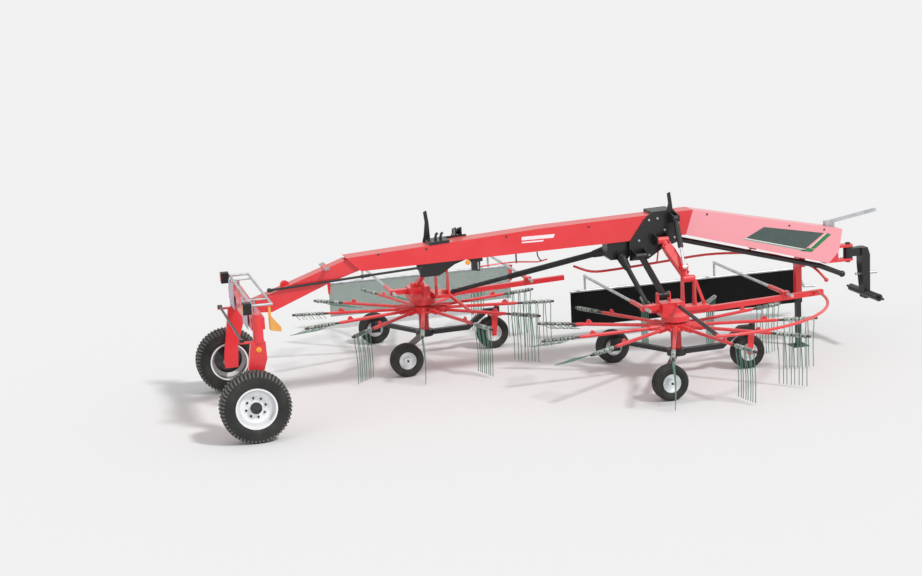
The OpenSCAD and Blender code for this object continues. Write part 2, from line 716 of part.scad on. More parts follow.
// Carries the rotor head and ends in three beams to the wheels
frame_z = 290;
beam_end_y = back_wheel_y - small_w / 2 - 24;
module axle_frame() {
    difference() {
        union() {
            translate([0, 0, frame_z - 35]) cylinder(h = box_z - frame_z + 35 - gap, r = hub_r);
            translate([0, 0, frame_z - 35]) cylinder(h = 75, r = 110);
            translate([0, 0, head_low - 25]) cylinder(h = 25 - gap, r = 90);
            for (s = [-1, 1]) {
                box_bar([0, 0, frame_z], [-back_wheel_x, s * beam_end_y, frame_z], 60, 50);
                translate([-back_wheel_x - 60, s * beam_end_y - 8, axle_z - 40])
                    cube([120, 16, frame_z + 25 - axle_z + 40]);
                cross_pin([-back_wheel_x, s * (back_wheel_y - 10), axle_z], 12.5, small_w + 30);
            }
            box_bar([0, 0, frame_z], [castor_x - 380, 0, frame_z + 10], 76, 60);
            box_bar([castor_x - 400, 0, frame_z + 4], [castor_x - 145, 0, 486], 72, 58);
            translate([castor_x - 165, -34, 454]) cube([165, 68, 56]);
            translate([castor_x, 0, 440]) cylinder(h = 85, r = 34);
        }
        translate([castor_x, 0, 380]) cylinder(h = 200, r = 18 + gap);
    }
}
module front_axle_frame() { color(black) at_front() axle_frame(); }
module rear_axle_frame() { color(black) at_rear() axle_frame(); }
castor_wheel_x = castor_x - castor_trail;
fork_in = small_w / 2 + 6;
module castor() {
    translate([castor_x, 0, 412]) cylinder(h = 118, r = 18);
    translate([castor_x, 0, 525 + gap]) cylinder(h = 12, r = 26);
    translate([castor_wheel_x - 30, -fork_in - 8, 418]) cube([castor_trail + 66, 2 * fork_in + 16, 22 - gap]);
    for (s = [-1, 1]) side_plate(8, s * (fork_in + 4)) polygon([
        [castor_wheel_x - 30, 439], [castor_wheel_x + 60, 439], [castor_wheel_x + 26, axle_z - 26],
        [castor_wheel_x - 26, axle_z - 26]
    ]);
    cross_pin([castor_wheel_x, 0, axle_z], 12.5, 2 * fork_in + 30);
}
module front_castor() { color(red) at_front() castor(); }
module rear_castor() { color(red) at_rear() castor(); }
module small_wheel() {
    h = small_w / 2;
    rotate_extrude($fn = 36) polygon([
        [12.5 + gap, -h + 12], [45, -h + 12], [55, -6], [94, -6], [100, -h + 18], [115, -h + 12], [150, -h],
        [185, -h + 18], [small_r, -h + 50], [small_r, h - 50], [185, h - 18], [150, h], [115, h - 12],
        [100, h - 18], [94, 6], [55, 6], [45, h - 12], [12.5 + gap, h - 12]
    ]);
}
module wheel_at(x, y) { translate([x, y, axle_z]) rotate([90, 0, 0]) small_wheel(); }
module front_wheel_a() { color(black) at_front() wheel_at(-back_wheel_x, -back_wheel_y); }
module front_wheel_b() { color(black) at_front() wheel_at(castor_wheel_x, 0); }
module front_wheel_c() { color(black) at_front() wheel_at(-back_wheel_x, back_wheel_y); }
module rear_wheel_a() { color(black) at_rear() wheel_at(-back_wheel_x, -back_wheel_y); }
module rear_wheel_b() { color(black) at_rear() wheel_at(castor_wheel_x, 0); }
module rear_wheel_c() { color(black) at_rear() wheel_at(-back_wheel_x, back_wheel_y); }

// Rotor head with its arms. The inner tube of an arm ends before the innermost coil, and the bracket stands on it.
coil_r = 24;
coil_w = 62;
innermost = rotor_r - 77 - (tine_pairs - 1) * tine_pitch - coil_w / 2;
tube_end = innermost - 92;
bracket_r = tube_end - 160;
module rotor(n, turn) {
    difference() {
        union() {
            translate([0, 0, head_low]) cylinder(h = head_top - head_low, r = 95);
            translate([0, 0, head_low]) cylinder(h = 80, r = 150);
            translate([0, 0, head_low + 30]) cylinder(h = 12, r = 260);
            for (i = [0 : n - 1]) rotate([0, 0, turn + i * 360 / n]) translate([0, 0, arm_z]) rotate([0, 90]) {
                translate([0, 0, 130]) cylinder(h = 200, r = arm_r + 12);
                translate([0, 0, 130]) cylinder(h = tube_end - 130, r = arm_r);
                translate([0, 0, bracket_r]) cylinder(h = rotor_r - bracket_r, r = tip_r);
                translate([0, 0, bracket_r - 40]) rotate([90, 0, 0]) linear_extrude(12, center = true)
                    polygon([[0, 0], [-58, 50], [-58, 80], [0, 110]]);
            }
        }
        translate([0, 0, head_low - 1]) cylinder(h = 140, r = hub_r + gap);
    }
}
module front_rotor() { color(red) at_front() rotor(front_arms, front_turn); }
module rear_rotor() { color(red) at_rear() rotor(rear_arms, rear_turn); }

// The cam lifts the tines while an arm passes the swath on the left and the back
function lifted(angle) = angle % 360 > 95 && angle % 360 < 225 ? 1 : 0;
module double_tine() {
    drop = arm_z - tine_gap;
    rotate([0, 90, 0]) difference() {
        cylinder(h = coil_w, r = coil_r, center = true);
        cylinder(h = coil_w + 2, r = tip_r + gap, center = true);
    }
    for (x = [-26, 26]) bar([x, -coil_r + 4, 0], [x, 10, -drop], wire_r);
}
module tines(n, turn) {
    for (i = [0 : n - 1]) {
        angle = turn + i * 360 / n;
        rotate([0, 0, angle]) for (k = [0 : tine_pairs - 1])
            translate([rotor_r - 77 - k * tine_pitch, 0, arm_z]) rotate([-tine_lift * lifted(angle), 0, 0])
                double_tine();
    }
}
module front_tines() { color(tine_green) at_front() tines(front_arms, front_turn); }
module rear_tines() { color(tine_green) at_rear() tines(rear_arms, rear_turn); }

// Swath curtains on slides. ends holds the top rail's back and front end, y its distance from the rotor's centre.
front_cloth = [-578, 2502];
rear_cloth = [-850, 1680];
bend_drop = 247;
bend_run = 120;
module curtain_frame(ends, y) {
    translate([ends[0], y, curtain_z]) rotate([0, 90, 0]) cylinder(h = ends[1] - ends[0], r = 17);
    for (x = slide_x) {
        translate([x, -200, slide_z]) rotate([-90, 0, 0]) cylinder(h = y + 200, r = slide_r);
        translate([x, y, curtain_z]) cylinder(h = slide_z - curtain_z + slide_r, r = 15);
    }
}
module curtain_cloth(ends, y, slant = false) {
    low = curtain_z - 17 - gap - curtain_h;
    top = curtain_z - 17 - gap;
    tip = slant ? ends[1] - 24 : ends[1] - 8;
    run = slant ? bend_run - 4 : 8;
    side_plate(cloth_t, y) polygon([
        [ends[0], low], [ends[0], top], [tip, top], [tip + run, top - (slant ? bend_drop - 6 : 9)], [tip + run, low]
    ]);
}
// The front rail's bend, which goes round the slanted end of the cloth
module rail_end(x, y) {
    p = [x, y, curtain_z];
    q = p + [bend_run, 0, -bend_drop];
    bar(p, q, 17);
    bar(q, q + [158, 0, -8], 17);
    translate(p) sphere(r = 18);
    translate(q) sphere(r = 18);
}
module front_curtain_frame() {
    color(steel) at_front() {
        curtain_frame(front_cloth, front_curtain_y);
        rail_end(front_cloth[1], front_curtain_y);
    }
}
module rear_curtain_frame() { color(black) at_rear() curtain_frame(rear_cloth, rear_curtain_y); }
module front_curtain() { color(black) at_front() curtain_cloth(front_cloth, front_curtain_y, true); }
module rear_curtain() { color([0.3, 0.4, 0.36]) at_rear() curtain_cloth(rear_cloth, rear_curtain_y); }

// Guarded shafts from the gearbox to the rotors. Each inner tube slides in its outer one.
inner_less = 8;
module outer_shaft(ends, r) {
    v = ends[1] - ends[0];
    difference() {
        union() {
            bar(ends[0], ends[0] + v * 0.62, r);
            translate(ends[0]) sphere(r = r + yoke);
        }
        bar(ends[0] + v * 0.38, ends[1], r - inner_less + gap);
    }
}
module inner_shaft(ends, r) {
    v = ends[1] - ends[0];
    bar(ends[0] + v * 0.5, ends[1], r - inner_less);
    translate(ends[1]) sphere(r = r - 2);
}
module front_shaft() { color(black) place() outer_shaft(front_shaft_ends, front_shaft_r); }
module rear_shaft() { color(black) place() outer_shaft(rear_shaft_ends, rear_shaft_r); }
module front_shaft_end() { color(black) place() inner_shaft(front_shaft_ends, front_shaft_r); }
module rear_shaft_end() { color(black) place() inner_shaft(rear_shaft_ends, rear_shaft_r); }

main_beam();
cladding();
neck();
cross_beam();
lamp_frame();
lamps();
marker_boards();
wheel_chock();
drive_line();
arm_brackets();
hose_arm();
guard_rail();
stand_leg();
headstock();
pto_stub();
knuckle_left();
knuckle_right();
rim_left();
rim_right();
tyre_left();
tyre_right();
track_rod();
front_arm();
front_link();
front_cylinder();
front_rod();
front_carrier();
front_axle_frame();
front_rotor();
front_tines();
front_wheel_a();
front_wheel_b();
front_wheel_c();
front_castor();
front_curtain_frame();
front_curtain();
front_shaft();
front_shaft_end();
rear_arm();
rear_link();
rear_cylinder();
rear_rod();
rear_carrier();
rear_axle_frame();
rear_rotor();
rear_tines();
rear_wheel_a();
rear_wheel_b();
rear_wheel_c();
rear_castor();
rear_curtain_frame();
rear_curtain();
rear_shaft();
rear_shaft_end();
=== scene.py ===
import math

import bmesh
import bpy
from mathutils import Matrix, Vector
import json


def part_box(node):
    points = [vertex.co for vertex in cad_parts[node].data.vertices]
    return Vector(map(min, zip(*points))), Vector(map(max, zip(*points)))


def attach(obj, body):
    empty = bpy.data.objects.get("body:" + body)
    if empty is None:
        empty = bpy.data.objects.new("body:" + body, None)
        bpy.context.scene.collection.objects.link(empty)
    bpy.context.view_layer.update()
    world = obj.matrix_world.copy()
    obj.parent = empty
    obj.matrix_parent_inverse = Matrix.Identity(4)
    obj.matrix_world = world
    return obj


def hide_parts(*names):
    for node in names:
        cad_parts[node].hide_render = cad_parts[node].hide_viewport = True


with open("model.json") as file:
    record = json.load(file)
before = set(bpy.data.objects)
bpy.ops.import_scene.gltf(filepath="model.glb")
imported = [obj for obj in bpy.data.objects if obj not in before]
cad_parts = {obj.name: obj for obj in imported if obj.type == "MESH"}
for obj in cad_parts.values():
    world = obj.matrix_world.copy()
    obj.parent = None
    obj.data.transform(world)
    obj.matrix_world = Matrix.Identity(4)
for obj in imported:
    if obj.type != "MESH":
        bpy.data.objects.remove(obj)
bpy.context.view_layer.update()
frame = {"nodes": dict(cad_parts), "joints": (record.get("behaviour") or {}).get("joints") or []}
NODES = frame["nodes"]
JOINTS = {joint["name"]: joint for joint in frame["joints"]}
TURN = 2 * math.pi


# ---------------------------------------------------------------- places taken from the frame

def corners(node):
    """The lowest and the highest corner of a node's box."""
    low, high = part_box(node)
    return Vector(low), Vector(high)


def middle(node):
    low, high = corners(node)
    return (low + high) / 2


def pivot(joint):
    return Vector(JOINTS[joint]["pos_m"])


LEFT_HUB = middle("tyre_left")
RIGHT_HUB = middle("tyre_right")
AXLE = Vector((LEFT_HUB.x, (LEFT_HUB.y + RIGHT_HUB.y) / 2, 0))
ROTOR = {"front": pivot("front_reel_spin"), "rear": pivot("rear_reel_spin")}


def at(x, y, z):
    """A point given from the ground under the middle of the rear axle."""
    return Vector((AXLE.x + x, AXLE.y + y, z))


# ---------------------------------------------------------------- camera

CAMERA_FROM_AXLE = Vector((-2.1445, -18.9349, 5.137))
CAMERA_YAW = math.radians(14.02)
CAMERA_PITCH = math.radians(11.44)
CAMERA_ROLL = math.radians(-3.05)
LENS_MM = 68.04
SENSOR_MM = 36
FARTHEST_SEEN = 2000


def make_camera():
    forward = Vector((math.sin(CAMERA_YAW) * math.cos(CAMERA_PITCH),
                      math.cos(CAMERA_YAW) * math.cos(CAMERA_PITCH), -math.sin(CAMERA_PITCH)))
    level = Vector((math.cos(CAMERA_YAW), -math.sin(CAMERA_YAW), 0))
    above = level.cross(forward)
    right = level * math.cos(CAMERA_ROLL) + above * math.sin(CAMERA_ROLL)
    up = above * math.cos(CAMERA_ROLL) - level * math.sin(CAMERA_ROLL)
    eye = AXLE + CAMERA_FROM_AXLE
    camera = bpy.data.objects.new("camera", bpy.data.cameras.new("camera"))
    bpy.context.scene.collection.objects.link(camera)
    camera.matrix_world = Matrix((
        (right.x, up.x, -forward.x, eye.x),
        (right.y, up.y, -forward.y, eye.y),
        (right.z, up.z, -forward.z, eye.z),
        (0, 0, 0, 1)))
    camera.data.lens = LENS_MM
    camera.data.sensor_width = SENSOR_MM
    camera.data.clip_end = FARTHEST_SEEN
    bpy.context.scene.camera = camera


# ---------------------------------------------------------------- shader maths

class Value:
    """A number or colour on its way through a material's nodes."""

    def __init__(self, paint, socket):
        self.paint = paint
        self.socket = socket

    def __add__(self, other):
        return self.paint.maths("ADD", self, other)

    def __radd__(self, other):
        return self.paint.maths("ADD", other, self)

    def __sub__(self, other):
        return self.paint.maths("SUBTRACT", self, other)

    def __rsub__(self, other):
        return self.paint.maths("SUBTRACT", other, self)

    def __mul__(self, other):
        return self.paint.maths("MULTIPLY", self, other)

    def __rmul__(self, other):
        return self.paint.maths("MULTIPLY", other, self)

    def __gt__(self, other):
        return self.paint.maths("GREATER_THAN", self, other)

    def __lt__(self, other):
        return self.paint.maths("LESS_THAN", self, other)

    def clamp(self):
        return self.paint.add("ShaderNodeClamp", {}, {0: self})


# A colour mix node's sockets by number, because it has others with the same names.
MIX_SHARE, MIX_FIRST, MIX_SECOND, MIX_RESULT = 0, 6, 7, 2


class Paint:
    """One material and the nodes that make it."""

    def __init__(self, name):
        self.material = bpy.data.materials.new(name)
        self.material.use_nodes = True
        self.tree = self.material.node_tree
        self.tree.nodes.clear()
        self.shader = self.tree.nodes.new("ShaderNodeBsdfPrincipled")
        output = self.tree.nodes.new("ShaderNodeOutputMaterial")
        self.tree.links.new(self.shader.outputs[0], output.inputs[0])

    def add(self, kind, settings, sockets, out=0):
        node = self.tree.nodes.new(kind)
        for name, value in settings.items():
            setattr(node, name, value)
        for key, value in sockets.items():
            self._feed(node.inputs[key], value)
        return Value(self, node.outputs[out])

    def _feed(self, socket, value):
        if isinstance(value, Value):
            self.tree.links.new(value.socket, socket)
        else:
            socket.default_value = value

    def set(self, **inputs):
        """Feeds the shader's inputs, named with _ for a space, and gives the finished material."""
        for name, value in inputs.items():
            self._feed(self.shader.inputs[name.replace("_", " ")], value)
        return self.material

    def maths(self, operation, first, second):
        return self.add("ShaderNodeMath", {"operation": operation}, {0: first, 1: second})

    def place(self, scale=(1, 1, 1)):
        """Where a point of the object lies, in metres, stretched by scale."""
        coords = self.add("ShaderNodeTexCoord", {}, {}, "Object")
        return self.add("ShaderNodeMapping", {}, {"Vector": coords, "Scale": scale})

    def along(self, axis):
        """How far a point of the object lies along X, Y or Z."""
        coords = self.add("ShaderNodeTexCoord", {}, {}, "Object")
        return self.add("ShaderNodeSeparateXYZ", {}, {0: coords}, axis)

    def length(self, first, second):
        """How long the way is that goes this far one way and this far across it."""
        return self.maths("POWER", first * first + second * second, 0.5)

    def reach(self, centre):
        """How far a point lies from the upright line through centre."""
        return self.length(self.along("X") - centre.x, self.along("Y") - centre.y)

    def noise(self, size, detail, rough=0.5, scale=(1, 1, 1)):
        """Cloudy patches, of about this size in metres."""
        return self.add("ShaderNodeTexNoise", {}, {
            "Vector": self.place(scale), "Scale": 1 / size, "Detail": detail, "Roughness": rough})

    def between(self, value, low, high):
        """0 where the value is low, 1 where it is high, and a straight slope in between."""
        return self.add("ShaderNodeMapRange", {}, {
            "Value": value, "From Min": low, "From Max": high, "To Min": 0.0, "To Max": 1.0})

    def blend(self, share, first, second):
        first, second = (tone if isinstance(tone, Value) else (*tone, 1) for tone in (first, second))
        return self.add("ShaderNodeMix", {"data_type": "RGBA"},
                        {MIX_SHARE: share, MIX_FIRST: first, MIX_SECOND: second}, MIX_RESULT)

    def bump(self, height, strength, distance):
        return self.add("ShaderNodeBump", {}, {
            "Height": height, "Strength": strength, "Distance": distance}, "Normal")


def colour(red, green, blue):
    """A colour given as 0 to 255, as Blender's linear one."""
    return tuple(c / 12.92 if c <= 0.04045 else ((c + 0.055) / 1.055) ** 2.4
                 for c in (red / 255, green / 255, blue / 255))


# ---------------------------------------------------------------- finishes

def painted(name, clean, worn, dusty, gloss=0.32, coat=0.4, dust=0.5, second=None, where=None):
    """Sprayed steel: faint orange peel, faded patches, small specks and field dust on what faces up.
    where, if given, makes a mask from the paint, and the second colour lies there."""
    p = Paint(name)
    fade = p.between(p.noise(0.55, 4), 0.38, 0.68)
    speck = p.between(p.noise(0.035, 5, 0.65), 0.56, 0.74)
    normal = p.add("ShaderNodeNewGeometry", {}, {}, "Normal")
    up = p.add("ShaderNodeSeparateXYZ", {}, {0: normal}, "Z")
    settled = p.between(up * 0.6 + p.noise(0.12, 5) * 0.7, 0.55, 1.15) * dust
    tone = p.blend(fade * 0.55, clean, worn)
    if where:
        tone = p.blend(where(p), tone, second)
    tone = p.blend((settled + speck * 0.18 * dust).clamp(), tone, dusty)
    peel = p.bump(p.noise(0.0035, 2), 0.05, 0.001)
    return p.set(Base_Color=tone, Roughness=(gloss + settled * 0.35 + fade * 0.08).clamp(),
                 Normal=peel, Coat_Weight=(coat - settled * coat).clamp())


def bare_steel(name, bright, dull, rough=0.34, metal=0.85):
    """Drawn or plated steel: fine streaks, and duller patches."""
    p = Paint(name)
    streak = p.noise(0.02, 4, 0.6, (1, 1, 6))
    patch = p.between(p.noise(0.09, 4), 0.4, 0.65)
    return p.set(Base_Color=p.blend(patch * 0.7, bright, dull), Metallic=metal,
                 Roughness=rough + streak * 0.2, Normal=p.bump(streak, 0.06, 0.001))


def rubber(name, black, dusty):
    p = Paint(name)
    wear = p.between(p.noise(0.16, 6, 0.62), 0.40, 0.72)
    fine = p.noise(0.004, 3)
    return p.set(Base_Color=p.blend(wear * 0.28 + fine * 0.06, black, dusty), Roughness=0.82 - wear * 0.10,
                 Normal=p.bump(fine, 0.18, 0.001))


def moulded(name, tone, other, rough):
    """Plastic, film or lens: an even colour with a faint grain."""
    p = Paint(name)
    fine = p.noise(0.002, 3)
    patch = p.between(p.noise(0.08, 4), 0.4, 0.7)
    return p.set(Base_Color=p.blend(patch * 0.5, tone, other), Roughness=rough + patch * 0.1,
                 Normal=p.bump(fine, 0.1, 0.0005))


BAND_PITCH = 0.314          # of the wave texture at scale 1


def woven(name, thread, shade, pitch, open_share):
    """Cloth along X and Z, its holes cut by the two sets of threads."""
    p = Paint(name)

    def threads(axis):
        bands = p.add("ShaderNodeTexWave",
                      {"wave_type": "BANDS", "bands_direction": axis, "wave_profile": "SIN"},
                      {"Vector": p.place(), "Scale": BAND_PITCH / pitch})
        return p.add("ShaderNodeSeparateColor", {}, {0: bands})

    weave = threads("X") * threads("Z")
    stain = p.between(p.noise(0.3, 4), 0.35, 0.7)
    extra = {"Alpha": 1 - (weave > 1 - open_share)} if open_share else {}
    return p.set(Base_Color=p.blend(stain * 0.6, thread, shade), Roughness=0.8 - stain * 0.12,
                 Normal=p.bump(weave, 0.35, 0.001), Specular_IOR_Level=0.2, **extra)


PAINT_RED = colour(228, 40, 48), colour(234, 66, 72), colour(214, 150, 144)
PAINT_BLACK = colour(13, 14, 16), colour(24, 25, 27), colour(82, 80, 74)
CREASE_X = 4.7666           # where the crease of the hood over the beam would meet the ground, from the axle
CREASE_LEAN = 0.3333
GLARE_SHARE = 0.92           # how much of the painted glare, a paler pink red, lies beyond the crease
COIL_STARTS = 1.18
COLUMN_RADIUS = 0.12
COLUMN_FOOT = 0.335
NECK_HALF = 0.0955
RIM_LIP = 0.013
DISH_FOOT, DISH_RISE = 0.0153, 0.153        # a rear rim's disc stands further out with the radius
DISH_BACK, DISH_FALL = 0.1424, 0.667        # and then falls back to the barrel


def glare_beyond_crease(p):
    """The sloping front of the beam, whose crease leans forward as it rises; beyond it lies a painted glare
    of pale pink on the red.
    """
    return (p.along("X") - p.along("Z") * CREASE_LEAN > AXLE.x + CREASE_X) * GLARE_SHARE


def outer_arms(which):
    """The ends of a rotor's arms, where they carry the tines."""
    return lambda p: p.reach(ROTOR[which]) > COIL_STARTS


def column(which):
    """The upright in the middle of an axle frame, above its cross bars."""
    return lambda p: (p.reach(ROTOR[which]) < COLUMN_RADIUS) * (p.along("Z") > COLUMN_FOOT)


def shaded_inner_side(word, side):
    """The inner side of a rear rim, given a painted shade of near black: its dished disc and its barrel, but
    not the bare flange.
    """
    low, high = corners("rim_" + word)
    hub = middle("rim_" + word)
    flange = (high.y - low.y) / 2 - RIM_LIP

    def mask(p):
        r = p.length(p.along("X") - hub.x, p.along("Z") - hub.z)
        dish = p.maths("MINIMUM", r * DISH_RISE + DISH_FOOT, DISH_BACK - r * DISH_FALL)
        out = (p.along("Y") - hub.y) * side
        return (out < dish) * (out > -flange)
    return mask


def clamp_wings(p):
    """The clamp's plate on the neck, where it stands out past the neck's sides."""
    across = p.along("Y") - AXLE.y
    return across * across > NECK_HALF ** 2


RED = painted("red_paint", *PAINT_RED)
NECK_RED = painted("neck_paint", *PAINT_RED, second=colour(138, 140, 144), where=clamp_wings)
# The panel's second colour, pale pink beyond the crease, is a painted glare of light on the red paint.
PANEL_RED_AND_GLARE = painted("panel_red_and_glare_paint", *PAINT_RED, second=colour(248, 168, 178), where=glare_beyond_crease)
REEL_RED = {which: painted(which + "_reel_paint", *PAINT_RED, second=colour(34, 42, 38),
                           where=outer_arms(which)) for which in ROTOR}
BLACK = painted("black_paint", *PAINT_BLACK, 0.4, 0.25, 0.3)
AXLE_BLACK = {which: painted(which + "_axle_paint", *PAINT_BLACK, 0.4, 0.25, 0.3,
                             second=colour(196, 34, 42), where=column(which)) for which in ROTOR}
RIM_PAINT = bare_steel("rim_steel", colour(248, 250, 251), colour(214, 217, 219), 0.2, 0.4)
# The rear rims' second colour, near black on their inner side, is painted shade on the white rims.
BIG_RIM_AND_SHADE = {word: painted(word + "_rim_and_shade_paint", colour(248, 249, 250), colour(226, 229, 231),
                         colour(186, 184, 176), 0.22, 0.5, 0.3,
                         second=colour(40, 42, 44), where=shaded_inner_side(word, side))
           for word, side in (("left", 1), ("right", -1))}
ZINC = bare_steel("zinc_steel", colour(206, 209, 212), colour(168, 171, 174))
POLISHED = bare_steel("polished_rod", colour(226, 228, 230), colour(202, 204, 206), 0.16, 0.95)
DARK_STEEL = bare_steel("dark_steel", colour(72, 74, 76), colour(48, 50, 52), 0.42, 0.7)
# The coils' bright silver is a painted glint of light, mixed in patches with the dark steel of the wire.
COIL_STEEL_AND_GLINTS = bare_steel("coil_steel_and_glints", colour(196, 208, 200), colour(58, 74, 67), 0.22, 0.6)
TINE_STEEL = painted("tine_steel", colour(64, 122, 101), colour(92, 146, 124), colour(132, 146, 128),
                     0.34, 0.4, 0.3)
TYRE = rubber("tyre_rubber", colour(34, 35, 34), colour(84, 84, 79))
TREAD = rubber("tread_rubber", colour(92, 92, 89), colour(142, 141, 133))
GUARD = moulded("guard_plastic", colour(14, 15, 17), colour(26, 27, 29), 0.45)
BOARD = moulded("board_plastic", colour(190, 184, 200), colour(172, 166, 184), 0.5)
CHOCK = moulded("chock_plastic", colour(244, 186, 96), colour(232, 160, 58), 0.5)
AMBER = moulded("amber_lens", colour(250, 168, 60), colour(236, 140, 34), 0.2)
RED_LENS = moulded("red_lens", colour(200, 24, 26), colour(170, 16, 18), 0.2)
WHITE_FILM = moulded("white_film", colour(248, 236, 240), colour(238, 222, 228), 0.4)
GREY_FILM = moulded("grey_film", colour(74, 92, 88), colour(64, 80, 77), 0.4)
GREEN_FILM = moulded("green_film", colour(58, 132, 82), colour(48, 116, 70), 0.4)
PALE_GREEN_FILM = moulded("pale_green_film", colour(120, 176, 156), colour(104, 160, 140), 0.4)
# The front cloth's near black is its own dark colour, darkened further by painted shade.
FRONT_CLOTH_AND_SHADE = woven("front_cloth", colour(4, 5, 5), colour(11, 12, 11), 0.006, 0)
REAR_CLOTH = woven("rear_cloth", colour(84, 112, 100), colour(110, 132, 120), 0.012, 0.6)


# The frame's nodes by the finish that each gets, also of some that new pieces stand for.
NODE_FINISHES = {
    NECK_RED: ["neck"],
    RED: ["main_beam", "cross_beam", "knuckle_left", "knuckle_right", "guard_rail", "front_arm", "rear_arm",
          "rear_link", "front_carrier", "rear_carrier", "front_castor", "rear_castor"],
    PANEL_RED_AND_GLARE: ["cladding"],
    REEL_RED["front"]: ["front_rotor"],
    REEL_RED["rear"]: ["rear_rotor"],
    AXLE_BLACK["front"]: ["front_axle_frame"],
    AXLE_BLACK["rear"]: ["rear_axle_frame"],
    BLACK: ["drive_line", "arm_brackets", "stand_leg", "headstock", "track_rod", "front_link",
            "front_cylinder", "rear_cylinder"],
    GUARD: ["lamps", "front_shaft", "rear_shaft"],
    DARK_STEEL: ["front_shaft_end", "rear_shaft_end"],
    ZINC: ["lamp_frame", "hose_arm", "pto_stub", "front_curtain_frame", "rear_curtain_frame"],
    POLISHED: ["front_rod", "rear_rod"],
    BIG_RIM_AND_SHADE["left"]: ["rim_left"],
    BIG_RIM_AND_SHADE["right"]: ["rim_right"],
    TINE_STEEL: ["front_tines", "rear_tines"],
    TYRE: ["tyre_left", "tyre_right"],
    BOARD: ["marker_boards"],
    CHOCK: ["wheel_chock"],
}


def finish_nodes():
    for material, names in NODE_FINISHES.items():
        for name in names:
            mesh = NODES[name].data
            mesh.materials.clear()
            mesh.materials.append(material)


# ---------------------------------------------------------------- making pieces

def new_object(name, mesh, *materials):
    piece = bpy.data.objects.new(name, mesh)
    bpy.context.scene.collection.objects.link(piece)
    for material in materials:
        mesh.materials.append(material)
    return piece


def mesh_from(name, points, faces):
    mesh = bpy.data.meshes.new(name)
    mesh.from_pydata([tuple(point) for point in points], [], faces)
    mesh.update()
    return mesh


def joined(name, parts):
    """One mesh from several (points, faces) pairs."""
    points, faces = [], []
    for more_points, more_faces in parts:
        start = len(points)
        points += list(more_points)
        faces += [tuple(start + i for i in face) for face in more_faces]
    return mesh_from(name, points, faces)


def smooth(mesh, angle=35):
    """Smooth shading, with edges sharper than angle, in degrees, left sharp."""
    for face in mesh.polygons:
        face.use_smooth = True
    mesh.set_sharp_from_angle(angle=math.radians(angle))


def outward(mesh):
    work = bmesh.new()
    work.from_mesh(mesh)
    bmesh.ops.recalc_face_normals(work, faces=work.faces)
    work.to_mesh(mesh)
    work.free()


def declare(piece, body, stands_for=()):
    """A finished piece rides on body, and stands for these nodes."""
    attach(piece, body)
    if stands_for:
        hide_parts(*stands_for)


def fitted(name, mesh, material, body, stands_for=(), angle=35):
    """Makes a finished piece of a mesh that is already in place."""
    smooth(mesh, angle)
    outward(mesh)
    declare(new_object(name, mesh, material), body, stands_for)


def polar(radius, angle, height):
    """A point round the Z axis."""
    return Vector((radius * math.cos(angle), radius * math.sin(angle), height))


def turned_to(centre, heading):
    """The place of a piece that was drawn about Z, set at centre with Z along heading."""
    return Matrix.Translation(centre) @ Vector(heading).to_track_quat("Z", "Y").to_matrix().to_4x4()


def tube(path, radius, sides):
    """Points and faces of a round tube along a path, its rings turned as little as they can be."""
    points, faces = [], []
    path = [Vector(p) for p in path]
    along = (path[1] - path[0]).normalized()
    side = along.orthogonal().normalized()
    for i, centre in enumerate(path):
        ahead = path[min(i + 1, len(path) - 1)] - path[max(i - 1, 0)]
        ahead.normalize()
        side = (side - ahead * side.dot(ahead)).normalized()
        other = ahead.cross(side)
        for k in range(sides):
            turn = TURN * k / sides
            points.append(centre + radius * (side * math.cos(turn) + other * math.sin(turn)))
    for i in range(len(path) - 1):
        for k in range(sides):
            a, b = i * sides + k, i * sides + (k + 1) % sides
            faces.append((a, b, b + sides, a + sides))
    faces.append(tuple(reversed(range(sides))))
    faces.append(tuple(range(len(points) - sides, len(points))))
    return points, faces


def rod(name, path, radius, material, body, sides=12):
    fitted(name, joined(name, [tube(path, radius, sides)]), material, body)


def chassis_rods(rows):
    """Rods on the chassis, from rows of name, radius, finish and the places that each runs through."""
    for name, radius, material, path in rows:
        rod(name, [at(*spot) for spot in path], radius, material, "chassis")


def revolved(profile, steps):
    """Points and faces of a ring about Z from (radius, height) pairs that close on themselves."""
    points = [polar(r, TURN * i / steps, z) for i in range(steps) for r, z in profile]
    count = len(profile)
    faces = []
    for i in range(steps):
        j = (i + 1) % steps
        for k in range(count):
            m = (k + 1) % count
            faces.append((i * count + k, j * count + k, j * count + m, i * count + m))
    return points, faces


def lathe_piece(name, profile, steps, place, material, body, stands_for=(), angle=35):
    mesh = joined(name, [revolved(profile, steps)])
    mesh.transform(place)
    fitted(name, mesh, material, body, stands_for, angle)


CHAMFER_HEIGHT, CHAMFER_RADIUS = 0.75, 0.86     # where a bolt head's chamfer starts and ends, as shares


def hex_head(radius, height, off_axis=0.0):
    """A bolt's head with a chamfered top, standing on Z = 0 and off_axis along X."""
    levels = ((radius, 0), (radius, height * CHAMFER_HEIGHT), (radius * CHAMFER_RADIUS, height))
    points = [polar(r, math.pi * k / 3, z) + Vector((off_axis, 0, 0)) for r, z in levels for k in range(6)]
    faces = [(ring + k, ring + (k + 1) % 6, ring + 6 + (k + 1) % 6, ring + 6 + k)
             for ring in (0, 6) for k in range(6)]
    faces += [tuple(range(5, -1, -1)), tuple(range(12, 18))]
    return points, faces


TO_LEFT, TO_RIGHT = (0, 1, 0), (0, -1, 0)


def heads(name, spots, radius, height, material):
    """Bolt heads on the right side of the chassis."""
    points, faces = hex_head(radius, height)
    parts = []
    for spot in spots:
        place = turned_to(spot, TO_RIGHT)
        parts.append(([place @ p for p in points], faces))
    fitted(name, joined(name, parts), material, "chassis")


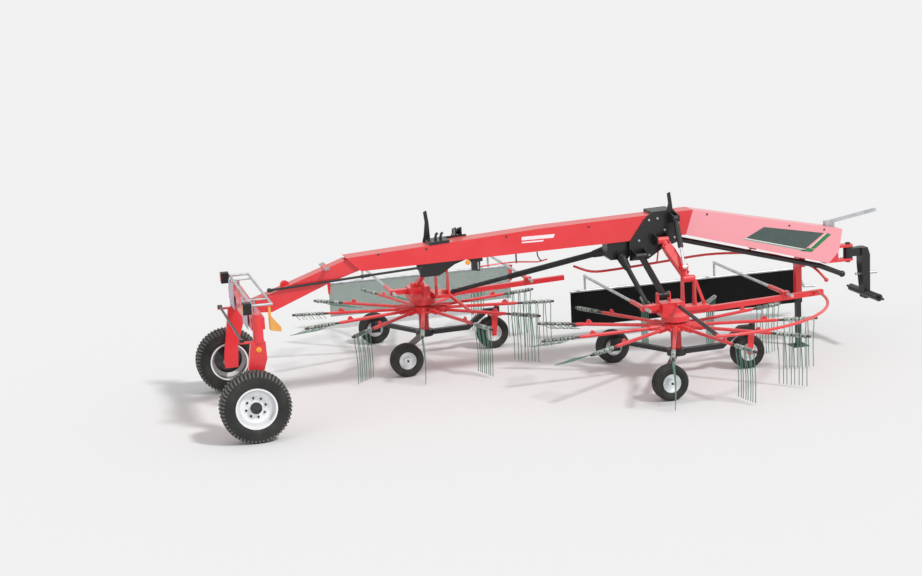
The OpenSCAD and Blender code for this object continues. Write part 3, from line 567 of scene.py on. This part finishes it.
def plate(name, outline, thickness, material, body):
    """A thin plate from its outline's corners, thickened both ways along the outline's own normal."""
    edge = [Vector(corner) for corner in outline]
    normal = (edge[1] - edge[0]).cross(edge[2] - edge[0]).normalized() * (thickness / 2)
    count = len(edge)
    points = [c - normal for c in edge] + [c + normal for c in edge]
    faces = [tuple(reversed(range(count))), tuple(range(count, 2 * count))]
    faces += [(k, (k + 1) % count, count + (k + 1) % count, count + k) for k in range(count)]
    fitted(name, joined(name, [(points, faces)]), material, body)


# ---------------------------------------------------------------- geometry node trees

class Tree:
    """A Geometry Nodes tree with named inputs."""

    def __init__(self, name):
        self.group = bpy.data.node_groups.new(name, "GeometryNodeTree")
        self.identifiers = {}
        self.start = self.group.nodes.new("NodeGroupInput")
        self.end = self.group.nodes.new("NodeGroupOutput")
        self.group.interface.new_socket("Geometry", in_out="OUTPUT", socket_type="NodeSocketGeometry")
        self.input("Geometry", "NodeSocketGeometry")

    def input(self, name, kind="NodeSocketFloat"):
        socket = self.group.interface.new_socket(name, in_out="INPUT", socket_type=kind)
        self.identifiers[name] = socket.identifier
        return self.start.outputs[name]

    def add(self, kind, settings, sockets):
        node = self.group.nodes.new(kind)
        for name, value in settings.items():
            setattr(node, name, value)
        for key, value in sockets.items():
            if isinstance(value, bpy.types.NodeSocket):
                self.group.links.new(value, node.inputs[key])
            else:
                node.inputs[key].default_value = value
        return node.outputs[0]

    def maths(self, operation, *values):
        return self.add("ShaderNodeMath", {"operation": operation}, dict(enumerate(values)))

    def dots(self, count):
        """This many points, all in one place, and the number of each."""
        line = self.add("GeometryNodeMeshLine", {}, {"Count": count, "Offset": (0, 0, 0)})
        return line, self.add("GeometryNodeInputIndex", {}, {})

    def copies(self, points, rotation):
        return self.add("GeometryNodeInstanceOnPoints", {}, {
            "Points": points, "Instance": self.start.outputs["Geometry"], "Rotation": rotation})

    def close(self, geometry, material):
        solid = self.add("GeometryNodeRealizeInstances", {}, {0: geometry})
        finished = self.add("GeometryNodeSetMaterial", {}, {0: solid, "Material": material})
        self.group.links.new(finished, self.end.inputs[0])

    def grow(self, name, mesh, values):
        """The tree's result on this mesh, as a plain mesh object."""
        seed = new_object(name + "_seed", mesh)
        modifier = seed.modifiers.new("grow", "NODES")
        modifier.node_group = self.group
        for key, value in values.items():
            modifier[self.identifiers[key]] = value
        bpy.context.view_layer.update()
        evaluated = seed.evaluated_get(bpy.context.evaluated_depsgraph_get())
        result = bpy.data.meshes.new_from_object(evaluated)
        bpy.data.objects.remove(seed)
        result.name = name
        return new_object(name, result)


def reel_tree(name, material):
    """Copies a double tine to each place on each arm of a rotor, rolled up on the arms in the lifted span."""
    t = Tree(name)
    arms = t.input("Arms", "NodeSocketInt")
    turn = t.input("First Arm Angle")
    pairs = t.input("Pairs On An Arm", "NodeSocketInt")
    pitch = t.input("Pitch")
    outer = t.input("Outermost Radius")
    centre = t.input("Centre", "NodeSocketVector")
    lift = t.input("Lifted Roll")
    lift_from = t.input("Lifted From Angle")
    lift_to = t.input("Lifted To Angle")
    dots, index = t.dots(t.maths("MULTIPLY", arms, pairs))
    arm = t.maths("FLOOR", t.maths("DIVIDE", t.maths("ADD", index, 0.5), pairs))
    step = t.maths("SUBTRACT", index, t.maths("MULTIPLY", arm, pairs))
    angle = t.maths("ADD", turn, t.maths("DIVIDE", t.maths("MULTIPLY", arm, TURN), arms))
    wrapped = t.maths("MODULO", angle, TURN)
    inside = t.maths("MULTIPLY", t.maths("GREATER_THAN", wrapped, lift_from),
                     t.maths("LESS_THAN", wrapped, lift_to))
    roll = t.maths("MULTIPLY", t.maths("MULTIPLY", inside, lift), -1.0)
    radius = t.maths("SUBTRACT", outer, t.maths("MULTIPLY", step, pitch))
    x = t.maths("MULTIPLY", radius, t.maths("COSINE", angle))
    y = t.maths("MULTIPLY", radius, t.maths("SINE", angle))
    flat = t.add("ShaderNodeCombineXYZ", {}, {0: x, 1: y})
    spot = t.add("ShaderNodeVectorMath", {"operation": "ADD"}, {0: flat, 1: centre})
    placed = t.add("GeometryNodeSetPosition", {}, {"Geometry": dots, "Position": spot})
    turned = t.add("ShaderNodeCombineXYZ", {}, {0: roll, 2: angle})
    t.close(t.copies(placed, turned), material)
    return t


def ring_tree(name, material):
    """Copies a piece round the Z axis, then tilts the ring and sets it on a centre."""
    t = Tree(name)
    count = t.input("Count", "NodeSocketInt")
    centre = t.input("Centre", "NodeSocketVector")
    tilt = t.input("Tilt", "NodeSocketVector")
    first = t.input("First Angle")
    dots, index = t.dots(count)
    angle = t.maths("ADD", first, t.maths("DIVIDE", t.maths("MULTIPLY", index, TURN), count))
    turned = t.add("ShaderNodeCombineXYZ", {}, {2: angle})
    ring = t.copies(dots, turned)
    moved = t.add("GeometryNodeTransform", {}, {"Geometry": ring, "Translation": centre, "Rotation": tilt})
    t.close(moved, material)
    return t


# ---------------------------------------------------------------- tines

WIRE = 0.0048
WIRE_SIDES = 6
ARM_Z = ROTOR["front"].z
COIL_TURNS = 2.5
COIL_STEPS = 34
COIL_RADIUS = 0.0215
COIL_FROM = 0.008
COIL_TO = 0.036
MIDDLE_LOOP = (0, 0.004, COIL_RADIUS + 0.001)
LEG_TO = 0.026              # how far a tip lies from the middle of its double tine
LEG_SHARES = (0.05, 0.14, 0.3, 0.5, 0.7, 0.86, 1.0)
LEG_ROOT = -0.010           # where a leg starts, across its arm
LEG_BOW = 0.020
LEG_TIP_BEND = 0.018
TINE_GAP = 0.025
TINE_PITCH = 0.092
TINES_ON_AN_ARM = 4
OUTERMOST = 1.559
ARMS = {"front": (11, 18.4), "rear": (12, 16.3)}        # how many, and the first one's angle
LIFTED_ROLL = math.radians(72)
LIFTED_FROM, LIFTED_TO = math.radians(95), math.radians(225)


def coil_path(side):
    """One coil of a double tine, from the middle loop outwards, on the side that side says."""
    path = [MIDDLE_LOOP]
    for i in range(COIL_STEPS + 1):
        share = i / COIL_STEPS
        turn = math.pi / 2 + share * TURN * COIL_TURNS
        path.append((side * (COIL_FROM + share * (COIL_TO - COIL_FROM)), COIL_RADIUS * math.cos(turn),
                     COIL_RADIUS * math.sin(turn)))
    return path


def leg_path(side):
    """A tine's leg, from the end of its coil to its tip, bowed a little."""
    start = Vector(coil_path(side)[-1])
    drop = ARM_Z - TINE_GAP
    path = [start]
    for share in LEG_SHARES:
        bend = LEG_BOW * math.sin(share * math.pi) + LEG_TIP_BEND * share ** 2
        path.append((start.x + (side * LEG_TO - start.x) * min(share * 2, 1), LEG_ROOT + bend,
                     start.z * (1 - share) - drop * share))
    return path


def make_tines():
    for word, path, material in (("coils", coil_path, COIL_STEEL_AND_GLINTS), ("legs", leg_path, TINE_STEEL)):
        tree = reel_tree("reel of " + word, material)
        for which, (arms, first) in ARMS.items():
            mesh = joined("double_tine", [tube(path(side), WIRE, WIRE_SIDES) for side in (-1, 1)])
            smooth(mesh, 60)
            piece = tree.grow(which + "_tine_" + word, mesh, {
                "Arms": arms, "First Arm Angle": math.radians(first), "Pairs On An Arm": TINES_ON_AN_ARM,
                "Pitch": TINE_PITCH, "Outermost Radius": OUTERMOST, "Centre": ROTOR[which],
                "Lifted Roll": LIFTED_ROLL, "Lifted From Angle": LIFTED_FROM, "Lifted To Angle": LIFTED_TO})
            declare(piece, which + "_reel", [which + "_tines"])


FLANGE_HEAD = 0.011, 0.010          # radius and height
FLANGE_CIRCLE = 0.244
FLANGE_TOP = 0.0025


def make_flange_bolts():
    """The bolts that hold the arms' sockets to the rotor's plate."""
    tree = ring_tree("ring of flange bolts", DARK_STEEL)
    for which, (arms, first) in ARMS.items():
        mesh = joined("flange_bolt", [hex_head(*FLANGE_HEAD, FLANGE_CIRCLE)])
        piece = tree.grow(which + "_flange_bolts", mesh, {
            "Count": arms, "Centre": ROTOR[which] + Vector((0, 0, FLANGE_TOP)), "Tilt": (0.0, 0.0, 0.0),
            "First Angle": math.radians(first + 180 / arms)})
        smooth(piece.data)
        declare(piece, which + "_reel")


# ---------------------------------------------------------------- rotor wheels

def arc(cx, cz, r, start, stop, steps):
    """Points along an arc from start to stop, in degrees."""
    turns = [math.radians(start + (stop - start) * i / steps) for i in range(steps + 1)]
    return [(cx + r * math.cos(turn), cz + r * math.sin(turn)) for turn in turns]


def mirrored(profile):
    """The other half of a wheel's profile, in the order that closes it."""
    return [(r, -z) for r, z in reversed(profile)]


def small_tyre_profile(radius, half):
    """A tyre with two grooves on each side of its tread, rounded shoulders and a bead."""
    groove = radius - 0.008
    right_ribs = [(radius, 0.019), (groove, 0.021), (groove, 0.028), (radius, 0.030), (radius - 0.001, 0.048)]
    bend = 0.042
    shoulder = arc(radius - bend, half - bend, bend, 60, 90, 3)
    bead = [(0.118, half - 0.010), (0.104, half - 0.022)]
    return mirrored(bead) + mirrored(shoulder) + mirrored(right_ribs) + right_ribs + shoulder + bead


def small_rim_profile(half):
    outer = [(0.0128, half - 0.012), (0.042, half - 0.012), (0.044, half - 0.020), (0.050, 0.010),
             (0.090, 0.006), (0.097, half - 0.030), (0.104, half - 0.020), (0.1035, half - 0.024)]
    return outer + mirrored(outer)


def make_small_wheels():
    for which in ROTOR:
        for letter in "abc":
            node = which + "_wheel_" + letter
            low, high = corners(node)
            half, radius = (high.y - low.y) / 2, (high.z - low.z) / 2
            place = Matrix.Translation(middle(node)) @ Matrix.Rotation(math.pi / 2, 4, "X")
            for word, profile, material in (
                    ("tyre", small_tyre_profile(radius, half), TYRE),
                    ("rim", small_rim_profile(half), RIM_PAINT)):
                lathe_piece(node + "_" + word, profile, 56, place, material, node, [node])


# ---------------------------------------------------------------- rear wheels

RIM_SEAT = 0.2135
TREAD_DEPTH = 0.011
LUGS = 54
LUG_HEIGHT = 0.018
NUTS = 8
NUT_HEAD = 0.013, 0.016             # radius and height
NUT_CIRCLE = 0.106
NUT_FACE = 0.0355           # how far the disc that carries the nuts lies outside the hub's middle
HUB_CAP = ((0.0615, 0.062), (0.0635, 0.064), (0.0635, 0.078), (0.058, 0.088), (0.040, 0.094), (0.0, 0.096),
           (0.0, 0.0765), (0.0615, 0.0765))


def big_tyre_profile(radius, half):
    """The casing under the lugs, with a rounded shoulder and a bead line."""
    bend = 0.046
    shoulder = arc(radius - TREAD_DEPTH - bend, half - 0.050, bend, 0, 86, 6)
    wall = [(RIM_SEAT + up, half - inset) for up, inset in (
        (0.062, 0), (0.040, 0.002), (0.034, 0.006), (0.014, 0.012), (0.002, 0.026), (0, 0.034))]
    side = shoulder + wall
    return mirrored(side) + side


def lug(radius, half, side):
    """One slanting tread block that bends down over the shoulder."""
    # How far out each station lies, how far it drops, and where its back and front edges lie.
    stations = ((0.004, 0.0, -0.004, 0.013), (half - 0.042, 0.0, 0.004, 0.024),
                (half - 0.009, 0.020, 0.007, 0.028))
    points = []
    for out, drop, back, front in stations:
        for level in (radius - drop - LUG_HEIGHT, radius - drop):
            points += [polar(level, across / radius, side * out) for across in (back, front)]
    faces = [(0, 1, 3, 2), (8, 10, 11, 9)]
    for start in (0, 4):
        for a, b in ((0, 1), (1, 3), (3, 2), (2, 0)):
            faces.append((start + a, start + b, start + 4 + b, start + 4 + a))
    return points, faces


def make_rear_wheels():
    blocks = ring_tree("ring of tread blocks", TREAD)
    nuts = ring_tree("ring of wheel nuts", DARK_STEEL)
    for side, word in ((1, "left"), (-1, "right")):
        tyre, body = "tyre_" + word, "wheel_" + word
        low, high = corners(tyre)
        hub = middle(tyre)
        half, radius = (high.y - low.y) / 2, (high.z - low.z) / 2
        lay = turned_to(hub, (0, side, 0))
        tilt = tuple(lay.to_euler())
        lathe_piece(word + "_casing", big_tyre_profile(radius, half), 72, lay, TYRE, body, [tyre])
        for row, place in ((-1, "inner"), (1, "outer")):
            mesh = joined("tread_block", [lug(radius, half, row)])
            outward(mesh)
            piece = blocks.grow("%s_tread_%s" % (word, place), mesh, {
                "Count": LUGS, "Centre": hub, "Tilt": tilt, "First Angle": row * math.pi / LUGS / 2})
            smooth(piece.data, 30)
            declare(piece, body, [tyre])
        mesh = joined("wheel_nut", [hex_head(*NUT_HEAD, NUT_CIRCLE)])
        piece = nuts.grow(word + "_wheel_nuts", mesh, {
            "Count": NUTS, "Centre": hub + Vector((0, side * NUT_FACE, 0)), "Tilt": tilt, "First Angle": 0.2})
        smooth(piece.data)
        declare(piece, body)
        lathe_piece(word + "_hub_cap", HUB_CAP, 40, lay, DARK_STEEL, body)


# ---------------------------------------------------------------- curtains

CLOTH_ACROSS, CLOTH_DOWN = 120, 16
SWAY = 0.010
SWAY_LAG = 0.6              # how far the waves move along the cloth from its lower edge to its rail


def make_curtain(node, material, waves, slant=None):
    """slant holds how far the front top corner is cut back, and how far down the cut goes."""
    low, high = corners(node)
    y = (low.y + high.y) / 2
    length, height = high.x - low.x, high.z - low.z
    back, deep = slant or (0.0, height)
    points, faces = [], []
    for j in range(CLOTH_DOWN + 1):
        hang = 1 - j / CLOTH_DOWN
        z = low.z + height * j / CLOTH_DOWN
        end = length - back * max(0.0, 1 - (high.z - z) / deep)
        for i in range(CLOTH_ACROSS + 1):
            sway = SWAY * hang * math.sin(waves * math.pi * i / CLOTH_ACROSS + SWAY_LAG * hang)
            points.append((low.x + end * i / CLOTH_ACROSS, y + sway, z))
    for j in range(CLOTH_DOWN):
        for i in range(CLOTH_ACROSS):
            a = j * (CLOTH_ACROSS + 1) + i
            faces.append((a, a + 1, a + CLOTH_ACROSS + 2, a + CLOTH_ACROSS + 1))
    mesh = mesh_from(node, points, faces)
    smooth(mesh, 80)
    piece = new_object(node + "_cloth", mesh, material)
    declare(piece, node, [node])


def make_rail_brackets():
    """The red plates at both ends of the rear curtain's top rail."""
    low, high = corners("rear_curtain")
    y, top = (low.y + high.y) / 2 - 0.020, high.z + 0.030
    for word, x, wide, deep in (("rear", low.x, 0.022, 0.125), ("front", high.x, 0.030, 0.190)):
        outline = [(x - wide, y, top), (x - wide * 0.6, y, high.z - deep),
                   (x + wide * 0.6, y, high.z - deep), (x + wide, y, top)]
        plate("rear_rail_%s_bracket" % word, outline, 0.010, RED, "rear_curtain")


# ---------------------------------------------------------------- small things on the machine

SIDE_Y = -0.130             # the right face of the beam
FILM = 0.001
STUCK_ON = 0.0006
SADDLE_FACE = 0.0122        # how far the saddles' faces stand outside the beam's
BEAM_HEAD = 0.012, 0.007    # radius and height of a bolt's head
SADDLE_HEAD = 0.015, 0.012


def on_side(x, z, out=STUCK_ON):
    """A point on the right face of the beam, or a little outside it."""
    return at(x, SIDE_Y - out, z)


def make_films():
    """Plain stripes where a machine of this kind is striped."""
    for name, film, out, edge in (
            ("panel_grey", GREY_FILM, STUCK_ON,
             [(6.043, 1.462), (6.798, 1.257), (7.047, 1.428), (6.275, 1.572)]),
            ("panel_green_edge", PALE_GREEN_FILM, STUCK_ON,
             [(6.010, 1.448), (6.030, 1.459), (6.800, 1.250), (6.790, 1.236)]),
            ("panel_white_rim", WHITE_FILM, 0.0008,
             [(6.026, 1.4555), (6.040, 1.4625), (6.802, 1.2565), (6.800, 1.2490)]),
            ("panel_green_stripe", GREEN_FILM, STUCK_ON,
             [(7.086, 1.424), (6.870, 1.262), (6.930, 1.248), (7.140, 1.402)]),
            ("panel_white_stripe", WHITE_FILM, STUCK_ON,
             [(7.076, 1.428), (6.858, 1.265), (6.868, 1.262), (7.084, 1.4245)]),
            ("panel_second_green_stripe", GREEN_FILM, STUCK_ON,
             [(6.838, 1.2685), (6.732, 1.239), (6.888, 1.212), (6.918, 1.244)]),
            ("beam_white_stripe_0", WHITE_FILM, STUCK_ON,
             [(3.290, 1.693), (3.670, 1.689), (3.690, 1.731), (3.296, 1.733)]),
            ("beam_white_stripe_1", WHITE_FILM, STUCK_ON,
             [(3.290, 1.661), (3.540, 1.657), (3.560, 1.675), (3.296, 1.677)])):
        plate(name, [on_side(x, z, out) for x, z in edge], FILM, film, "chassis")


def make_bolts():
    beam = ((2.174, 1.700), (3.111, 1.752), (5.559, 1.789), (4.10, 1.775), (4.45, 1.440), (1.62, 1.690),
            (6.60, 1.560), (7.05, 1.470))
    heads("beam_bolts", [on_side(x, z, 0) for x, z in beam], *BEAM_HEAD, DARK_STEEL)
    saddles = ((4.830, 1.790), (5.020, 1.660), (4.935, 1.800), (5.140, 1.560), (4.700, 1.560),
               (4.820, 1.380), (5.120, 1.820))
    heads("bracket_bolts", [on_side(x, z, SADDLE_FACE) for x, z in saddles], *SADDLE_HEAD, ZINC)


def make_reflectors():
    dome = [(0.0, 0.0), (0.030, 0.0), (0.030, 0.004), (0.024, 0.008), (0.010, 0.010), (0.0, 0.0102)]
    for name, spot, heading, body in (
            ("leg_reflector", at(0.100, -0.9905, 0.952), TO_RIGHT, "knuckle_right"),
            ("left_leg_reflector", at(0.100, 0.9905, 0.952), TO_LEFT, "knuckle_left"),
            ("beam_reflector", at(2.649, SIDE_Y + 0.012, 1.500), TO_RIGHT, "chassis")):
        lathe_piece(name, dome, 32, turned_to(spot, heading), AMBER, body)


LENS = 0.006
LENS_MARGIN = 0.012


def make_lenses():
    """An amber and a red lens on each rear lamp, with start and width counted from the lamp's outer edge."""
    low, high = corners("lamps")
    x = low.x - LENS / 2
    bottom, top = low.z + LENS_MARGIN, high.z - LENS_MARGIN
    for side, hand, edge in ((-1, "right", low.y), (1, "left", high.y)):
        for word, start, width, lens in (("amber", 0.008, 0.042, AMBER), ("red", 0.056, 0.046, RED_LENS)):
            a, b = edge - side * start, edge - side * (start + width)
            face = [(x, a, bottom), (x, b, bottom), (x, b, top), (x, a, top)]
            plate("%s_%s_lens" % (hand, word), face, LENS, lens, "chassis")


VALVE_Y = -0.085
HANGER_Y = -0.02


def make_under_beam():
    """What hangs below the beam between the rotors: a small valve, its control rod, a hanger and a hook."""
    for name, thickness, edge in (
            ("valve_body", 0.05, [(2.700, 1.512), (2.700, 1.400), (2.790, 1.385), (2.800, 1.500)]),
            ("valve_foot", 0.03, [(2.66, 1.545), (2.66, 1.500), (2.83, 1.494), (2.83, 1.545)])):
        plate(name, [at(x, VALVE_Y, z) for x, z in edge], thickness, BLACK, "chassis")
    chassis_rods((
        ("valve_spool", 0.010, ZINC,
         [(2.770, -0.112, 1.492), (2.770, -0.112, 1.440), (2.772, -0.112, 1.408)]),
        ("control_rod", 0.008, RED,
         [(2.790, VALVE_Y, 1.430), (3.05, -0.06, 1.438), (3.248, -0.03, 1.432), (3.50, HANGER_Y, 1.405),
          (3.62, HANGER_Y, 1.425)]),
        ("control_hanger", 0.009, BLACK,
         [(3.248, HANGER_Y, 1.545), (3.248, HANGER_Y, 1.470), (3.250, HANGER_Y, 1.415)]),
        ("control_hook", 0.007, BLACK,
         [(3.50, HANGER_Y, 1.545), (3.505, HANGER_Y, 1.48), (3.53, HANGER_Y, 1.43),
          (3.56, HANGER_Y, 1.41)])))


STEERING_ROD_Y = -0.126
STEERING_ROD_RADIUS = 0.014
SLEEVE_RADIUS = 0.019
SLEEVE_SPAN = 0.60, 0.66    # as shares of the rod
BALL_OUT = 0.012            # how far a joint's middle lies past the rod's end
JOINT_BALL = ((0.0, -0.026), (0.012, -0.024), (0.022, -0.014), (0.026, 0.0), (0.022, 0.014), (0.012, 0.024),
              (0.0, 0.026), (0.0, 0.0))


def make_steering_rod():
    """The rod that reaches back beside the neck to the steered axle, with its joints and two carriers."""
    start, stop = at(0.385, STEERING_ROD_Y, 1.409), at(2.085, STEERING_ROD_Y, 1.494)
    way = (stop - start).normalized()
    rod("steering_rod", [start, start.lerp(stop, 0.5), stop], STEERING_ROD_RADIUS, BLACK, "chassis", 16)
    sleeve = [start.lerp(stop, share) for share in SLEEVE_SPAN]
    rod("steering_rod_sleeve", sleeve, SLEEVE_RADIUS, BLACK, "chassis", 16)
    for word, spot in (("rear", start - way * BALL_OUT), ("front", stop + way * BALL_OUT)):
        lathe_piece("steering_rod_%s_joint" % word, JOINT_BALL, 24, turned_to(spot, TO_LEFT), DARK_STEEL,
                    "chassis")
    near = 0.010
    for word, spot, up, far in (("rear", start, 0.014, 0.040), ("front", stop, 0.075, 0.020)):
        foot = ((-0.030, -0.022), (0.030, -0.022), (0.036, up), (-0.036, up))
        carrier = [spot + Vector((x, near, z)) for x, z in foot]
        plate("steering_rod_%s_carrier" % word, carrier, 0.012, BLACK, "chassis")
        pin = [spot + Vector((0, y, 0)) for y in (near, far)]
        rod("steering_rod_%s_pin" % word, pin, 0.010, ZINC, "chassis")


def make_levers():
    chassis_rods((
        ("front_latch_lever", 0.013, BLACK,
         [(5.118, -0.155, 1.870), (5.150, -0.158, 1.780), (5.170, -0.160, 1.660), (5.196, -0.162, 1.580),
          (5.214, -0.160, 1.525)]),
        ("front_latch_wire", 0.006, ZINC,
         [(5.150, -0.150, 1.840), (5.185, -0.152, 1.780), (5.200, -0.154, 1.690), (5.190, -0.156, 1.620)])))
    bend = ((0, 1.740), (0, 1.800), (0.012, 1.840), (0.03, 1.852))
    chassis_rods([("rear_latch_%d" % k, 0.015, BLACK, [(x + ahead, -0.02, z) for ahead, z in bend])
                  for k, x in enumerate((2.31, 2.37))])


EYE = 0.052                 # how far an arm's side plates start from the middle of its eye


def make_arm_sides():
    """The side plates that make each upper arm a box, between its two eyes, and the web between them."""
    for which, side in (("front", -1), ("rear", 1)):
        body = which + "_arm"
        top, foot = pivot(which + "_lift"), pivot(which + "_level")
        way = (foot - top).normalized()
        lift = way.cross(Vector((1, 0, 0))).normalized()
        across = lift.cross(way).normalized()
        start, deepest, stop = top + way * EYE, top.lerp(foot, 0.3), foot - way * EYE
        for edge, word in ((-1, "back"), (1, "front")):
            outline = [centre + across * edge * wide + lift * high for centre, wide, high in (
                (start, 0.047, 0.035), (start, 0.047, -0.035), (deepest, 0.047, -0.050),
                (stop, 0.0423, -0.035), (stop, 0.0423, 0.035), (deepest, 0.047, 0.050))]
            plate("%s_arm_side_%s" % (which, word), outline, 0.008, RED, body)
        web = [top.lerp(foot, share) + across * wide - side * lift * high for share, wide, high in (
            (0.14, -0.045, 0.043), (0.14, 0.045, 0.043), (0.86, 0.041, 0.041), (0.86, -0.041, 0.041))]
        plate(which + "_arm_web", web, 0.006, RED, body)


BELL_RIBS = 9
BELL_START = 0.012
BELL_PITCH = 0.018
BELL_RADIUS = 0.060
BELL_TAPER = 0.0022         # from one rib to the next
BELL_WALL = 0.004


def bell(shaft, far, near):
    """The ribbed guard round the upper joint of a drive shaft, from far towards near."""
    outside = []
    for i in range(BELL_RIBS):
        r = BELL_RADIUS - BELL_TAPER * i
        z = BELL_START + BELL_PITCH * i
        outside += [(r, z), (r, z + BELL_PITCH / 2), (r - BELL_WALL, z + BELL_PITCH * 2 / 3)]
    inside = [(r - BELL_WALL, z) for r, z in reversed(outside)]
    lathe_piece(shaft + "_upper_bell", outside + inside, 36, turned_to(far, (near - far).normalized()), GUARD,
                shaft, angle=25)


def make_bells():
    bell("rear_shaft", at(4.390, 0.1616, 1.420), at(2.883, 1.603, 0.820))
    bell("front_shaft", at(4.470, -0.1566, 1.400), at(4.716, -0.400, 0.800))


STRUT_HEADING = math.radians(-96)
STRUT_ENDS = ((0.20, 0.8592), (1.66, 0.8508))       # how far from the rotor's axis, and how high
STRUT_STEPS = 8


def make_hoop_strut():
    """The dark sleeve on the strut between the rotor's frame and the near guard hoop."""
    foot = Vector((*ROTOR["front"].xy, 0))
    inner, outer = (foot + polar(radius, STRUT_HEADING, height) for radius, height in STRUT_ENDS)
    path = [inner.lerp(outer, i / STRUT_STEPS) for i in range(STRUT_STEPS + 1)]
    rod("hoop_strut_sleeve", path, 0.0225, BLACK, "front_frame", 20)


# ---------------------------------------------------------------- studio

FLOOR_REACH = 400
BACKGROUND = (0.82, 0.82, 0.82, 1)
SKY_STRENGTH = 0.62
# The name of each sun, where it shines from, its strength and its spread.
SUNS = (("key", (0.5, -0.62, 0.86), 1.75, 0.12), ("fill", (-0.8, -0.5, 0.6), 0.25, 0.6))


def make_floor():
    ends = ((-1, -1), (1, -1), (1, 1), (-1, 1))
    mesh = mesh_from("floor", [(x * FLOOR_REACH, y * FLOOR_REACH, 0) for x, y in ends], [(0, 1, 2, 3)])
    floor = new_object("floor", mesh, Paint("studio_floor").set(Base_Color=BACKGROUND, Roughness=0.95))


def make_sky():
    """White light from all round, with the background's grey where the camera or a reflection sees it."""
    world = bpy.data.worlds.new("studio")
    bpy.context.scene.world = world
    world.use_nodes = True
    nodes, links = world.node_tree.nodes, world.node_tree.links
    nodes.clear()
    light, seen = nodes.new("ShaderNodeBackground"), nodes.new("ShaderNodeBackground")
    for node, tone, strength in ((light, (1, 1, 1, 1), SKY_STRENGTH), (seen, BACKGROUND, 1.0)):
        node.inputs[0].default_value = tone
        node.inputs[1].default_value = strength
    ray = nodes.new("ShaderNodeLightPath")
    either = nodes.new("ShaderNodeMath")
    either.operation = "MAXIMUM"
    mix = nodes.new("ShaderNodeMixShader")
    output = nodes.new("ShaderNodeOutputWorld")
    links.new(ray.outputs["Is Camera Ray"], either.inputs[0])
    links.new(ray.outputs["Is Glossy Ray"], either.inputs[1])
    for k, node in enumerate((either, light, seen)):
        links.new(node.outputs[0], mix.inputs[k])
    links.new(mix.outputs[0], output.inputs[0])


def make_suns():
    for name, from_where, strength, spread in SUNS:
        lamp = bpy.data.lights.new(name, "SUN")
        lamp.energy = strength
        lamp.angle = spread
        holder = bpy.data.objects.new(name, lamp)
        bpy.context.scene.collection.objects.link(holder)
        holder.rotation_euler = Vector(from_where).to_track_quat("Z", "Y").to_euler()


make_camera()
make_floor()
make_sky()
make_suns()
bpy.context.scene.view_settings.view_transform = "Standard"
finish_nodes()
make_tines()
make_flange_bolts()
make_small_wheels()
make_rear_wheels()
make_films()
make_bolts()
make_reflectors()
make_lenses()
make_under_beam()
make_steering_rod()
make_rail_brackets()
make_levers()
make_bells()
make_arm_sides()
make_hoop_strut()
make_curtain("front_curtain", FRONT_CLOTH_AND_SHADE, 11, (0.116, 0.241))
make_curtain("rear_curtain", REAR_CLOTH, 9)
